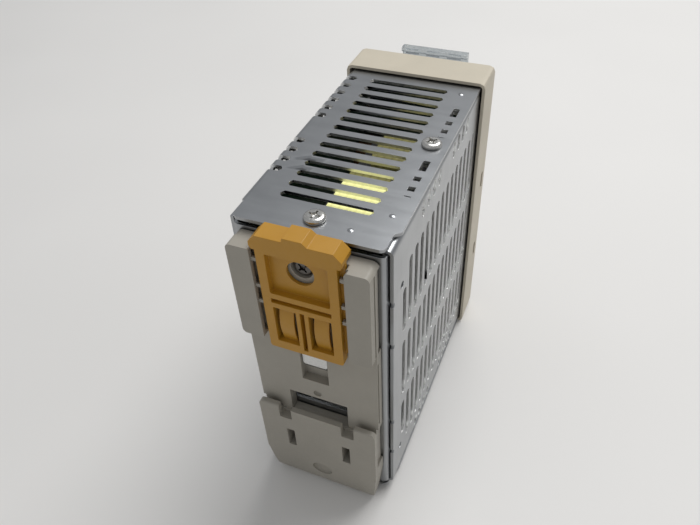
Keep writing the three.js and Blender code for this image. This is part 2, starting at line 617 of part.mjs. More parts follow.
function railSlider() {
  const face = SLIDER_BACK - SLIDER_THICKNESS;
  const shoulder = SLIDER_CROWN - CAP.shoulder;
  const capBottom = BASE_HEIGHT + FIT;
  const body = box([-SLIDER_HALF, SLIDER_HALF], [face, SLIDER_BACK], [SLIDER_BOTTOM, capBottom + SHEET]);
  const wingHalf = SLIDER_HALF + WING.reach;
  const wingY = [SLIDER_BACK - WING.thickness, SLIDER_BACK];
  const wings = box([-wingHalf, wingHalf], wingY, [SLIDER_BOTTOM + BLOCK.rise, capBottom + SHEET]);
  const bumpTop = SLIDER_CROWN + CAP.bumpRise;
  const right = [[CAP.half, capBottom], [CAP.half, shoulder], [CAP.half - CAP.shoulder, SLIDER_CROWN],
    [CAP.bump + CAP.bumpSlope, SLIDER_CROWN], [CAP.bump, bumpTop]];
  const left = right.map(([x, z]) => [-x, z]).reverse();
  const cap = alongY(outline([...right, ...left]), [face, face + CAP.depth]);
  const through = [face - SHEET, SLIDER_BACK + SHEET];
  const window = (side) => {
    const x = mirrored(side, SLIDER_WINDOW.inner, SLIDER_WINDOW.outer);
    return box(x, through, rise(SLIDER_BOTTOM + SLIDER_WINDOW.bottom, SLIDER_WINDOW.height));
  };
  const slotZ = rise(SLIDER_BOTTOM + SLIDER_SLOT.bottom, SLIDER_SLOT.height);
  const pocketZ = rise(SLIDER_BOTTOM + POCKET.bottom, POCKET.height);
  const middleZ = rise(SLIDER_BOTTOM + CENTRE_SLOT.bottom, CENTRE_SLOT.height);
  const tools = [
    window(-1),
    window(1),
    box([-SLIDER_SLOT.half, SLIDER_SLOT.half], through, slotZ),
    box([-POCKET.half, POCKET.half], [face - SHEET, face + POCKET.depth], pocketZ),
    box([-CENTRE_SLOT.half, CENTRE_SLOT.half], [face - SHEET, face + POCKET.depth], middleZ),
    alongY(disc(0, SLIDER_BOTTOM + POCKET.holeZ, POCKET.hole), through),
  ];
  return joined([cut(joined([body, wings, cap]), tools), leafSpring(-1), leafSpring(1)]);
}

// ------------------------------------------------------ moulded front

function poleXs(poles) {
  return range(poles).map((index) => (index - (poles - 1) / 2) * POLE_PITCH);
}

function terminalUnit(name, poles, top) {
  const half = (poles * POLE_PITCH) / 2 + BLOCK_MARGIN;
  const outer = top ? HEIGHT - BLOCK_INSET : BLOCK_INSET;
  const way = top ? 1 : -1;
  const inner = outer - way * BLOCK_HEIGHT;
  const z = between(outer, inner);
  return { name, poles, half, way, outer, inner, z };
}

const inputUnit = terminalUnit('input', INPUT_POLES, true);
const outputUnit = terminalUnit('output', OUTPUT_POLES, false);
const units = [inputUnit, outputUnit];

// The hinge line of a cover lies just past the block's inner end
function hingeLine(unit) {
  return { y: FASCIA_Y + HINGE.boss + FIT, z: unit.inner - unit.way * HINGE.drop };
}

function hingeLug(unit, side) {
  const { y, z } = hingeLine(unit);
  const start = unit.half + FIT;
  const x = mirrored(side, start, start + HINGE.lug);
  const boss = alongX(disc(y, z, HINGE.boss, FINE_ROUND), x);
  const stem = box(x, [BEZEL_FRONT - SHEET, y], around(z, HINGE.boss * 2));
  const hole = alongX(disc(y, z, HINGE.stub + FIT, FINE_ROUND), [x[0] - SHEET, x[1] + SHEET]);
  return boss.add(stem).subtract(hole);
}

function fasciaSpan() {
  return [TERMINAL_ZONE, HEIGHT - TERMINAL_ZONE];
}

function frontBezel() {
  const wide = [-HALF, HALF];
  const tall = [0, HEIGHT];
  const shell = alongY(rounded(wide, tall, BEZEL_CORNER), [BEZEL_BACK, BEZEL_FRONT]);
  const inset = BEZEL_WALL;
  const roomX = [-HALF + inset, HALF - inset];
  const roomShape = rounded(roomX, [inset, HEIGHT - inset], BEZEL_CORNER - inset);
  const room = alongY(roomShape, [BEZEL_BACK - SHEET, BEZEL_FRONT - BEZEL_FRONT_WALL]);
  const span = fasciaSpan();
  const fasciaHalf = HALF - FASCIA_SIDE;
  const fasciaShape = rounded([-fasciaHalf, fasciaHalf], span, BEZEL_CORNER);
  const raised = alongY(fasciaShape, [BEZEL_FRONT - SHEET, FASCIA_Y]);
  const hollowX = [-fasciaHalf + FASCIA_WALL, fasciaHalf - FASCIA_WALL];
  const hollow = box(hollowX, [BEZEL_FRONT - BEZEL_FRONT_WALL - SHEET, FASCIA_Y - FASCIA_WALL],
    [span[0] + FASCIA_WALL, span[1] - FASCIA_WALL]);
  const lugs = units.flatMap((unit) => [-1, 1].map((side) => hingeLug(unit, side)));
  const tools = [room, hollow];
  for (const unit of units) {
    const x = [-unit.half - FIT, unit.half + FIT];
    const z = [unit.z[0] - FIT, unit.z[1] + FIT];
    tools.push(box(x, [BEZEL_FRONT - BEZEL_FRONT_WALL - SHEET, BEZEL_FRONT + SHEET], z));
  }
  for (const height of SNAP_SLOT.heights) {
    const slotY = around(BEZEL_BACK + SNAP_SLOT.fromBack, SNAP_SLOT.width);
    const slot = rectangle(slotY, around(height, SNAP_SLOT.length));
    tools.push(alongX(slot, [-HALF - SHEET, -HALF + BEZEL_WALL + SHEET]));
    tools.push(alongX(slot, [HALF - BEZEL_WALL - SHEET, HALF + SHEET]));
  }
  const through = [FASCIA_Y - FASCIA_WALL - SHEET, FASCIA_Y + SHEET];
  const label = labelSpan();
  tools.push(box(label.x, [FASCIA_Y - LABEL.thickness - SNUG, FASCIA_Y + SHEET], label.z));
  tools.push(alongY(disc(LED.x, span[1] - LED.fromTop, LED.radius + FIT, FINE_ROUND), through));
  tools.push(alongY(disc(TRIMMER.x, span[1] - TRIMMER.fromTop, TRIMMER.rotor + FIT, FINE_ROUND), through));
  return joined([cut(shell.add(raised), tools), ...lugs]);
}

// The label's recess in the fascia; the label itself is smaller by the clearance
function labelSpan() {
  const span = fasciaSpan();
  return { x: around(LABEL.offset, LABEL.width), z: [span[0] + LABEL.margin, span[1] - LABEL.margin] };
}

function labelPlate() {
  const { x, z } = labelSpan();
  const y = [FASCIA_Y - LABEL.thickness, FASCIA_Y];
  return box([x[0] + FIT, x[1] - FIT], y, [z[0] + FIT, z[1] - FIT]);
}

// ------------------------------------------------------- terminals

function blockY() {
  return [FRONT_BOARD_Y + FIT, FASCIA_Y];
}

// The room inside a pole for its clamp, open to the wire entry and the screw
function poleRoom(unit, x) {
  const [back, front] = blockY();
  const clampFront = front - TERMINAL_SCREW.recess - TERMINAL_SCREW.headLength - FIT * 2;
  const clampBack = clampFront - CLAMP.depth;
  const middle = (unit.outer + unit.inner) / 2;
  const entry = between(middle, unit.outer + unit.way);
  const roomX = around(x, CLAMP.width + FIT * 2);
  const roomZ = around(middle, CLAMP.height + FIT * 2);
  const entryY = around((clampFront + clampBack) / 2 - CLAMP.wall / 2, WIRE_ENTRY);
  return {
    middle,
    clamp: { y: [clampBack, clampFront], z: around(middle, CLAMP.height) },
    tools: [
      box(roomX, [clampBack - FIT, clampFront + FIT], roomZ),
      box(around(x, WIRE_ENTRY), entryY, entry),
      alongY(disc(x, middle, TERMINAL_SCREW.head + FIT, FINE_ROUND), [clampFront - FIT, front + SHEET]),
      box(around(x, CLAMP.width / 2), [back - SHEET, clampBack], around(middle, CLAMP.height / 2)),
    ],
  };
}

function terminalBlock(unit) {
  const body = box([-unit.half, unit.half], blockY(), unit.z);
  return cut(body, poleXs(unit.poles).flatMap((x) => poleRoom(unit, x).tools));
}

// A clamp cage: a short square tube with a tapped hole through its front wall
function clampCage(unit, x) {
  const { clamp } = poleRoom(unit, x);
  const cage = box(around(x, CLAMP.width), clamp.y, clamp.z);
  const roomY = [clamp.y[0] + CLAMP.wall, clamp.y[1] - CLAMP.wall];
  const room = box(around(x, CLAMP.width - CLAMP.wall * 2), roomY, [clamp.z[0] - SHEET, clamp.z[1] + SHEET]);
  const middle = (clamp.z[0] + clamp.z[1]) / 2;
  const thread = disc(x, middle, TERMINAL_SCREW.shank + FIT / 2, FINE_ROUND);
  const hole = alongY(thread, [clamp.y[1] - CLAMP.threadDepth, clamp.y[1] + SHEET]);
  return cage.subtract(room).subtract(hole);
}

function terminalScrew(unit, x) {
  const { clamp, middle } = poleRoom(unit, x);
  const { head, headLength, shank } = TERMINAL_SCREW;
  const start = clamp.y[1] + FIT;
  const tip = -CLAMP.depth / 2;
  const profile = [[0, tip], [shank, tip], [shank, 0], [head, 0], [head, headLength], [0, headLength]];
  const screw = turned('Y', [x, start, middle], profile, FINE_ROUND);
  const slotY = [start + headLength / 2, start + headLength + SHEET];
  const slot = box([x - head, x + head], slotY, around(middle, FIT * 2));
  return screw.subtract(slot);
}

function terminalCover(unit) {
  const { y, z } = hingeLine(unit);
  const x = [-unit.half, unit.half];
  const outer = unit.outer + unit.way * COVER_OVERHANG;
  const plate = box(x, [FRONT - COVER_PLATE, FRONT], between(z, outer));
  const flap = box(x, [FRONT - COVER_FLAP, FRONT], between(outer, outer - unit.way * COVER_PLATE));
  const barrel = alongX(disc(y, z, HINGE.barrel, FINE_ROUND), x);
  const reach = unit.half + FIT + HINGE.lug;
  const stub = alongX(disc(y, z, HINGE.stub, FINE_ROUND), [-reach, reach]);
  const notches = poleXs(unit.poles + 1).map((middle) => {
    const inner = FRONT - COVER_FLAP;
    const notchZ = between(outer + unit.way, outer - unit.way * (COVER_PLATE + SHEET));
    return box(around(middle, COVER_NOTCH.width), [inner - SHEET, inner + COVER_NOTCH.depth], notchZ);
  });
  return cut(joined([plate, flap, barrel, stub]), notches);
}

// ----------------------------------------------- signal and adjustment

function trimmerPlace() {
  return [TRIMMER.x, fasciaSpan()[1] - TRIMMER.fromTop];
}

function trimmerBody() {
  const [x, z] = trimmerPlace();
  const y = [FRONT_BOARD_Y + FIT, FRONT_BOARD_Y + FIT + TRIMMER.depth];
  const body = box(around(x, TRIMMER.body), y, around(z, TRIMMER.body));
  const pivot = disc(x, z, TRIMMER.rotor / 2 + FIT, FINE_ROUND);
  return body.subtract(alongY(pivot, [y[1] - TRIMMER.depth / 2, y[1] + SHEET]));
}

function trimmerRotor() {
  const [x, z] = trimmerPlace();
  const seat = FRONT_BOARD_Y + FIT + TRIMMER.depth;
  const end = FASCIA_Y - TRIMMER.recess;
  const pivot = TRIMMER.rotor / 2;
  const stem = [[0, seat - TRIMMER.pivotDepth], [pivot, seat - TRIMMER.pivotDepth], [pivot, seat + FIT]];
  const profile = [...stem, [TRIMMER.rotor, seat + FIT], [TRIMMER.rotor, end], [0, end]];
  const slotX = [x - TRIMMER.rotor, x + TRIMMER.rotor];
  const slot = box(slotX, [end - TRIMMER.notch, end + SHEET], around(z, TRIMMER.notch));
  return turned('Y', [x, 0, z], profile, FINE_ROUND).subtract(slot);
}

// The light pipe runs from the board to the front of the fascia
function ledPipe() {
  const stem = [[0, FRONT_BOARD_Y + FIT], [LED.radius, FRONT_BOARD_Y + FIT], [LED.radius, FASCIA_Y]];
  const profile = [...stem, [LED.radius / 2, FASCIA_Y + LED.proud], [0, FASCIA_Y + LED.proud]];
  return turned('Y', [LED.x, 0, fasciaSpan()[1] - LED.fromTop], profile, FINE_ROUND);
}

// ------------------------------------------------------------ inside

function standoffPlaces() {
  const ys = [BOARD_BACK + STANDOFF.inset, BOARD_FRONT - STANDOFF.inset];
  const zs = [BOARD_BOTTOM + STANDOFF.inset, BOARD_TOP - STANDOFF.inset];
  return ys.flatMap((y) => zs.map((z) => [y, z]));
}

function standoff([y, z]) {
  const start = -CASE_HALF + SHEET + FIT;
  const end = BOARD_LEFT - FIT;
  const { radius, bore } = STANDOFF;
  const profile = [[bore, start], [radius, start], [radius, end], [bore, end], [bore, start]];
  return turned('X', [0, y, z], profile, FINE_ROUND);
}

function boardScrew([y, z]) {
  const profile = screwProfile(BOARD_SCREW, BOARD_SCREW.headHeight / 2);
  return turned('X', [BOARD_RIGHT + FIT, y, z], profile, FINE_ROUND);
}

function boardHoles(radius, x) {
  return standoffPlaces().map(([y, z]) => alongX(disc(y, z, radius, FINE_ROUND), x));
}

function mainBoard() {
  const board = box([BOARD_LEFT, BOARD_RIGHT], [BOARD_BACK, BOARD_FRONT], [BOARD_BOTTOM, BOARD_TOP]);
  return cut(board, boardHoles(BOARD_SCREW.shank + FIT, [BOARD_LEFT - SHEET, BOARD_RIGHT + SHEET]));
}

function insulationSheet() {
  const start = -CASE_HALF + SHEET * 2 + FIT * 2;
  const x = [start, start + SHEET_INSULATOR.thickness];
  const sheet = box(x, [BOARD_BACK, BOARD_FRONT], [BOARD_BOTTOM, BOARD_TOP]);
  return cut(sheet, boardHoles(SHEET_INSULATOR.hole, [x[0] - SHEET, x[1] + SHEET]));
}

function frontBoard() {
  const x = [BOARD_LEFT, CASE_HALF - SHEET - FRONT_BOARD.sideGap];
  return box(x, [FRONT_BOARD_Y - FRONT_BOARD.thickness, FRONT_BOARD_Y], [BOARD_BOTTOM, BOARD_TOP]);
}

// Wound parts: a ferrite frame with a centre leg, and the taped coil round it
function woundPart({ backY, depth, zTop, height, ferrite: ferriteHeight }) {
  const { yoke, leg, centre } = FERRITE;
  const y = [backY, backY + depth];
  const z = [zTop - height, zTop];
  const coilX = around(WINDING_X, WINDING_HALF * 2);
  const frameX = [coilX[0] - yoke - FIT, coilX[1] + yoke + FIT];
  const middleY = backY + depth / 2;
  const middleZ = zTop - height / 2;
  const ferriteZ = around(middleZ, ferriteHeight);
  const coilY = [y[0] + leg + FIT, y[1] - leg - FIT];
  const frame = box(frameX, y, ferriteZ);
  const roomY = [coilY[0] - FIT, coilY[1] + FIT];
  const room = box([coilX[0] - FIT, coilX[1] + FIT], roomY, [z[0] - SHEET, z[1] + SHEET]);
  const post = box([coilX[0] - SHEET, coilX[1] + SHEET], around(middleY, centre), ferriteZ);
  const coil = alongX(rounded(coilY, z, centre / 2), coilX);
  const boreZ = around(middleZ, ferriteHeight + FIT * 2);
  const bore = box([coilX[0] - SHEET, coilX[1] + SHEET], around(middleY, centre + FIT * 2), boreZ);
  return { core: frame.subtract(room).add(post), coil: coil.subtract(bore) };
}

function transformer() {
  const { inset, below, ...sizes } = TRANSFORMER;
  return woundPart({ ...sizes, backY: BOARD_BACK + inset, zTop: PARTS_TOP - below });
}

function filterChoke() {
  const { gap, below, ...sizes } = CHOKE;
  const backY = BOARD_BACK + TRANSFORMER.inset + TRANSFORMER.depth + gap;
  return woundPart({ ...sizes, backY, zTop: PARTS_TOP - below });
}

function can({ radius, length }, y, z) {
  const end = length - CAN_EDGE;
  const profile = [[0, 0], [radius, 0], [radius, end], [radius - CAN_EDGE, length], [0, length]];
  return turned('X', [PARTS_LEFT, y, z], profile);
}

function mainsChoke() {
  const { outer, inner, length, y, z } = MAINS_CHOKE;
  const profile = [[inner, 0], [outer, 0], [outer, length], [inner, length], [inner, 0]];
  return turned('X', [PARTS_LEFT, BOARD_FRONT - y, z], profile);
}

function fuse() {
  const { radius, length, y, z, lift } = FUSE;
  return alongZ(disc(PARTS_LEFT + radius + lift, BOARD_FRONT - y, radius, FINE_ROUND), [z, z + length]);
}

function filmCapacitor() {
  const { length, width, height, y, z } = FILM_CAP;
  return box([PARTS_LEFT, PARTS_LEFT + height], around(BOARD_FRONT - y, width), [z, z + length]);
}

// An upright aluminium plate with a foot on the board
function heatSink(y) {
  const top = PARTS_TOP - TRANSFORMER.below - TRANSFORMER.height - HEAT_SINK.clearance;
  const z = [HEAT_SINK.bottom, top];
  const plate = box([PARTS_LEFT, PARTS_LEFT + HEAT_SINK.length], [y, y + HEAT_SINK.plate], z);
  const foot = box([PARTS_LEFT, PARTS_LEFT + HEAT_SINK.plate], [y, y + HEAT_SINK.foot], z);
  return plate.add(foot);
}

// A flat power part lies on the back of its heat sink
function powerPart(y, { width, height, depth, z }) {
  return box(rise(PARTS_LEFT + POWER_PART_LIFT, height), [y - depth - FIT, y - FIT], rise(z, width));
}

// ---------------------------------------------------------- assembly

addNode('case_wrap', caseWrap(), zinc);
addNode('right_cover', rightCover(), zinc);
addNode('back_wall', backWall(), zinc);
for (const [place, where] of Object.entries(caseScrewPlaces())) {
  addNode(`case_screw_top_${place}`, caseScrew(where, true), nickel);
  addNode(`case_screw_bottom_${place}`, caseScrew(where, false), nickel);
}

addNode('rear_base', rearBase(), warmGrey);
addNode('rail_slider', railSlider(), mustard);
addNode('detent_tongue', detentTongue(), nickel);
addNode('base_screw', baseScrew(), nickel);

addNode('front_bezel', frontBezel(), beige);
addNode('front_label', labelPlate(), labelFilm);
for (const unit of units) {
  addNode(`${unit.name}_terminal_block`, terminalBlock(unit), terminalGreen);
  addNode(`${unit.name}_terminal_cover`, terminalCover(unit), clearPlastic);
  for (const [index, x] of poleXs(unit.poles).entries()) {
    addNode(`${unit.name}_clamp_${index + 1}`, clampCage(unit, x), nickel);
    addNode(`${unit.name}_terminal_screw_${index + 1}`, terminalScrew(unit, x), nickel);
  }
}
addNode('voltage_trimmer_body', trimmerBody(), blueBody);
addNode('voltage_trimmer_rotor', trimmerRotor(), insulator);
addNode('signal_light_pipe', ledPipe(), ledLens);

addNode('main_board', mainBoard(), boardGreen);
addNode('front_board', frontBoard(), boardGreen);
addNode('insulation_sheet', insulationSheet(), insulator);
for (const [index, place] of standoffPlaces().entries()) {
  addNode(`board_standoff_${index + 1}`, standoff(place), nickel);
  addNode(`board_screw_${index + 1}`, boardScrew(place), nickel);
}
const wound = { transformer: transformer(), filter_choke: filterChoke() };
for (const [name, { core, coil }] of Object.entries(wound)) {
  addNode(`${name}_core`, core, ferrite);
  addNode(`${name}_winding`, coil, yellowTape);
}
addNode('bulk_capacitor', can(BULK, BOARD_FRONT - BULK.y, BULK.z), sleeve);
for (const [index, z] of OUTPUT_CAP.z.entries()) {
  addNode(`output_capacitor_${index + 1}`, can(OUTPUT_CAP, BOARD_FRONT - OUTPUT_CAP.y, z), sleeve);
}
addNode('film_capacitor', filmCapacitor(), filmYellow);
addNode('mains_choke', mainsChoke(), copperWire);
addNode('fuse', fuse(), ceramic);
const inputSinkY = BOARD_FRONT - BULK.y - BULK.radius - HEAT_SINK.foot - HEAT_SINK.behindCans;
const outputSinkY = BOARD_FRONT - OUTPUT_CAP.y - OUTPUT_CAP.radius - HEAT_SINK.foot - HEAT_SINK.behindCans;
addNode('input_heat_sink', heatSink(inputSinkY), aluminium);
addNode('output_heat_sink', heatSink(outputSinkY), aluminium);
addNode('switching_transistor', powerPart(inputSinkY, POWER_PART), epoxy);
addNode('bridge_rectifier', powerPart(inputSinkY, RECTIFIER), epoxy);
addNode('output_rectifier', powerPart(outputSinkY, POWER_PART), epoxy);

export default group;
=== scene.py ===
"""A DIN rail power supply with a slotted steel case, a moulded front, hinged clear covers and a rail base.

The file is laid out as an add-on and run as a script. Each operator makes one piece, or one group of like
pieces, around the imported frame, in metres."""

import math
from functools import partial

import bmesh
import bpy
from mathutils import Matrix, Vector


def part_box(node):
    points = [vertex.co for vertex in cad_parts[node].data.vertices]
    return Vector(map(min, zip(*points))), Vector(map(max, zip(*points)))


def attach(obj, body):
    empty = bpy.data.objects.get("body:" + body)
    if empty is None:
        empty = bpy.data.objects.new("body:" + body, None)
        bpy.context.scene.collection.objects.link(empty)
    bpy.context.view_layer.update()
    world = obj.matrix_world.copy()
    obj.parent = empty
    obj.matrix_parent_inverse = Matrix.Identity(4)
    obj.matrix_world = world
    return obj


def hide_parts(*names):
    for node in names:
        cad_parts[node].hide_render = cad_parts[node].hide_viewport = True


bl_info = {
    "name": "DIN Rail Power Supply",
    "version": (1, 0, 0),
    "blender": (4, 5, 0),
    "location": "View3D > Sidebar > Power Supply",
    "description": "Builds a slotted-case power supply with a rail base and terminal covers",
    "category": "Object",
}

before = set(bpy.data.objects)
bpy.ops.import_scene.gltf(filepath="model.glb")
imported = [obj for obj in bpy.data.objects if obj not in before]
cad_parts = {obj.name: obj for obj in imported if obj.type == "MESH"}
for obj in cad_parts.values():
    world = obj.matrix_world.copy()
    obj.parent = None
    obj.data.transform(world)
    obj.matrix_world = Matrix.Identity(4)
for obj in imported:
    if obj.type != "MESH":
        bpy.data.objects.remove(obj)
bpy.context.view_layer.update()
MM = 0.001
ROOT = "root"

CASE_LOW, CASE_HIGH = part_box("case_wrap")
COVER_LOW, COVER_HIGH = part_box("right_cover")
BASE_LOW, BASE_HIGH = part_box("rear_base")
SLIDER_LOW, SLIDER_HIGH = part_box("rail_slider")
BEZEL_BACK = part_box("front_bezel")[0].y
SHEET = 1.0 * MM
OVERRUN = 1.0 * MM  # how far a cutting tool runs past what it cuts


def mm(*lengths):
    return tuple(length * MM for length in lengths)


# ---- settings

def size(name, description, default):
    return bpy.props.FloatProperty(name=name, description=description, default=default, min=0.0,
                                   unit="LENGTH", subtype="DISTANCE", precision=5)


def power(name, description, default):
    return bpy.props.FloatProperty(name=name, description=description, default=default, unit="POWER")


def colour(name, description, default):
    return bpy.props.FloatVectorProperty(name=name, description=description, default=default,
                                         min=0.0, max=1.0, size=3, subtype="COLOR")


class CaseSettings(bpy.types.PropertyGroup):
    """Sizes and colour of the folded and slotted sheets"""
    slot_width: size("Top Slot Width", "Width of the slots across the top and bottom", 2.9 * MM)
    slot_half: size("Top Slot Reach", "Half of the length of the slots across the top", 13.9 * MM)
    slot_pitch: size("Top Slot Pitch", "Distance from one top slot to the next", 5.25 * MM)
    side_width: size("Side Slot Width", "Width of the upright slots in the sides", 3.2 * MM)
    side_pitch: size("Side Slot Pitch", "Distance from one side column to the next", 5.12 * MM)
    edge: size("Edge Rounding", "Rounding of the punched edges", 0.26 * MM)
    zinc: colour("Zinc", "Colour of the plated sheet", (0.38, 0.39, 0.40))
    # partly the bare steel of the cut, partly a painted highlight: near-white metal that makes every rounded
    # sheet edge read as a lit rim
    cut: colour("Cut Edge", "Colour of the bright cut edges", (0.92, 0.92, 0.91))


class BaseSettings(bpy.types.PropertyGroup):
    """Sizes and colours of the rail base and its slider"""
    edge: size("Edge Rounding", "Rounding of the moulded edges of the base", 0.45 * MM)
    slider_edge: size("Slider Rounding", "Rounding of the slider's edges", 0.28 * MM)
    grey: colour("Base Grey", "Colour of the moulded rail base", (0.36, 0.335, 0.285))
    mustard: colour("Slider Mustard", "Colour of the moulded rail slider", (0.48, 0.24, 0.018))


class FrontSettings(bpy.types.PropertyGroup):
    """Sizes and colours of the moulded front and its terminals"""
    edge: size("Edge Rounding", "Rounding of the moulded front's edges", 0.5 * MM)
    beige: colour("Front Beige", "Colour of the moulded front", (0.56, 0.505, 0.40))
    block: colour("Terminal Block", "Colour of the terminal blocks", (0.035, 0.04, 0.04))
    label: colour("Label Film", "Colour of the blank label", (0.66, 0.66, 0.63))


class InsideSettings(bpy.types.PropertyGroup):
    """Colours of the parts behind the slots"""
    # partly the tape's own yellow, raised bright as painted light; the outer tape glows in this colour
    tape: colour("Winding Tape", "Colour of the polyester tape on the transformer", (1.0, 0.97, 0.42))
    # painted shade: a dull olive copy of the winding tape's yellow, used on the transformer's and the choke's
    # windings lying deeper under the sheet
    painted_shade_tape_colour: colour("Tape Painted Olive For Shade", "Colour of the tape on the filter choke", (0.42, 0.39, 0.14))
    # partly the solder mask's own dark green, darkened further as painted shade for the board deep inside the
    # case
    board: colour("Circuit Board", "Colour of the solder mask", (0.02, 0.05, 0.03))


class StageSettings(bpy.types.PropertyGroup):
    """The floor, the lights and the camera"""
    floor: colour("Floor", "Colour of the plain floor", (0.78, 0.765, 0.74))
    key: power("Key Light", "Power of the large light", 8.5)
    fill: power("Fill Light", "Power of the light on the shaded side", 0.12)
    world: bpy.props.FloatProperty(name="Room Light", description="Strength of the even room light",
                                   default=0.4)


# ---- materials

def add_node(tree, kind, inputs=(), **attributes):
    node = tree.nodes.new(kind)
    for key, value in attributes.items():
        setattr(node, key, value)
    for key, value in dict(inputs).items():
        if isinstance(value, bpy.types.NodeSocket):
            tree.links.new(value, node.inputs[key])
        else:
            node.inputs[key].default_value = value
    return node


def shade(value, factor):
    return tuple(min(1.0, channel * factor) for channel in value)


class Finish:
    """A material under construction, with its patterns on object coordinates"""

    def __init__(self, name, **constants):
        self.material = bpy.data.materials.new(name)
        self.material.use_nodes = True
        self.tree = self.material.node_tree
        self.tree.nodes.clear()
        self.shader = self.tree.nodes.new("ShaderNodeBsdfPrincipled")
        add_node(self.tree, "ShaderNodeOutputMaterial", {"Surface": self.shader.outputs["BSDF"]})
        for title, value in constants.items():
            self.shader.inputs[title.replace("_", " ")].default_value = value

    def pattern(self, kind, stretch=(1.0, 1.0, 1.0), output="Fac", inputs=(), **attributes):
        place = self.tree.nodes.new("ShaderNodeTexCoord").outputs["Object"]
        mapped = add_node(self.tree, "ShaderNodeMapping", {"Vector": place, "Scale": stretch})
        return add_node(self.tree, kind, {"Vector": mapped.outputs["Vector"], **dict(inputs)},
                        **attributes).outputs[output]

    def noise(self, scale, detail=3.0, roughness=0.5, distortion=0.0, stretch=(1.0, 1.0, 1.0)):
        return self.pattern("ShaderNodeTexNoise", stretch, inputs={
            "Scale": scale, "Detail": detail, "Roughness": roughness, "Distortion": distortion})

    def drive(self, title, factor, *stops):
        """Lets a pattern set one of the shader's inputs, through a ramp of colours or of numbers"""
        node = add_node(self.tree, "ShaderNodeValToRGB", {"Fac": factor})
        elements = node.color_ramp.elements
        while len(elements) < len(stops):
            elements.new(0.5)
        for element, (position, value) in zip(elements, stops):
            element.position = position
            element.color = (value, value, value, 1.0) if isinstance(value, float) else (*value, 1.0)
        self.tree.links.new(node.outputs["Color"], self.shader.inputs[title])

    def bump(self, height, distance, strength=1.0):
        node = add_node(self.tree, "ShaderNodeBump", {"Height": height, "Distance": distance,
                                                      "Strength": strength})
        self.tree.links.new(node.outputs["Normal"], self.shader.inputs["Normal"])


def moulded(name, base, rough=0.5, grain=0.02 * MM, mottling=0.06):
    """Moulded plastic: a fine matte grain, faint mottling and a little unevenness in its gloss"""
    finish = Finish(name)
    finish.drive("Base Color", finish.noise(55.0, 3.0, 0.6), (0.25, shade(base, 1.0 - mottling)),
                 (0.75, shade(base, 1.0 + mottling)))
    finish.drive("Roughness", finish.noise(900.0, 2.0), (0.3, rough - 0.05), (0.7, rough + 0.07))
    finish.bump(finish.noise(2600.0, 2.0, 0.6), grain)
    return finish.material


ROLLING = (40.0, 400.0, 40.0)


def plated(name, base, rough=0.3):
    """Plated sheet: metal with faint rolling streaks and a cloudy spangle"""
    finish = Finish(name, Metallic=1.0)
    clouds = finish.noise(70.0, 4.0, 0.65)
    finish.drive("Base Color", clouds, (0.3, shade(base, 0.93)), (0.7, shade(base, 1.06)))
    rolled = finish.noise(1.0, 4.0, 0.6, stretch=ROLLING)
    finish.drive("Roughness", rolled, (0.3, rough - 0.02), (0.7, rough + 0.03))
    finish.bump(clouds, 0.01 * MM, 0.08)
    return finish.material


def bright_metal(name, base, rough=0.2):
    """Bright turned or punched metal with fine marks"""
    finish = Finish(name, Metallic=1.0)
    marks = finish.noise(1400.0, 3.0, 0.7)
    finish.drive("Base Color", marks, (0.3, shade(base, 0.85)), (0.7, base))
    finish.drive("Roughness", marks, (0.3, rough), (0.7, rough + 0.15))
    return finish.material


def clear_sheet(name, tint=(0.62, 0.66, 0.68)):
    """Clear polycarbonate: mostly see-through, with faint scuffs on its gloss"""
    finish = Finish(name, Base_Color=(*tint, 1.0), Transmission_Weight=0.85, IOR=1.3)
    finish.drive("Roughness", finish.noise(300.0, 5.0, 0.7, 0.6), (0.5, 0.06), (0.8, 0.22))
    return finish.material


def wound_tape(name, base, painted_glow=0.0):
    """Glossy polyester tape laid in bands round a winding; a glow, when given, is painted light that makes
    the tape shine as if lit
    """
    # painted light: the emission in the tape's own yellow makes it shine, though it is no lamp
    finish = Finish(name, Roughness=0.28, Emission_Color=(*base, 1.0), Emission_Strength=painted_glow)
    bands = finish.pattern("ShaderNodeTexWave", inputs={"Scale": 130.0, "Distortion": 0.6, "Detail": 2.0},
                           bands_direction="X")
    finish.drive("Base Color", bands, (0.0, shade(base, 0.8)), (0.2, base), (1.0, shade(base, 1.08)))
    finish.bump(bands, 0.05 * MM, 0.5)
    return finish.material


def enamelled(name, base):
    """Enamelled copper wire, with its turns side by side"""
    finish = Finish(name, Metallic=0.7, Roughness=0.3)
    turns = finish.pattern("ShaderNodeTexWave", inputs={"Scale": 420.0, "Distortion": 1.0, "Detail": 1.0},
                           bands_direction="Y")
    finish.drive("Base Color", turns, (0.0, shade(base, 0.4)), (0.6, base))
    finish.bump(turns, 0.2 * MM, 0.8)
    return finish.material


def circuit_board(name, base):
    """Solder mask with faint tracks under it"""
    finish = Finish(name, Roughness=0.35)
    tracks = finish.pattern("ShaderNodeTexVoronoi", (1.0, 1.0, 0.5), "Distance", {"Scale": 260.0},
                            distance="MANHATTAN")
    finish.drive("Base Color", tracks, (0.2, shade(base, 1.8)), (0.3, base), (0.7, shade(base, 0.85)))
    finish.bump(tracks, 0.03 * MM, 0.4)
    return finish.material


def plain_floor(name, base):
    """A plain pale bench top with a faint even tone"""
    finish = Finish(name, Roughness=0.55)
    finish.drive("Base Color", finish.noise(6.0, 2.0), (0.3, shade(base, 0.98)), (0.7, shade(base, 1.02)))
    return finish.material


# ---- shapes

def body_object(name, mesh, *materials):
    piece = bpy.data.objects.new(name, mesh)
    bpy.context.scene.collection.objects.link(piece)
    for material in materials:
        mesh.materials.append(material)
    return piece


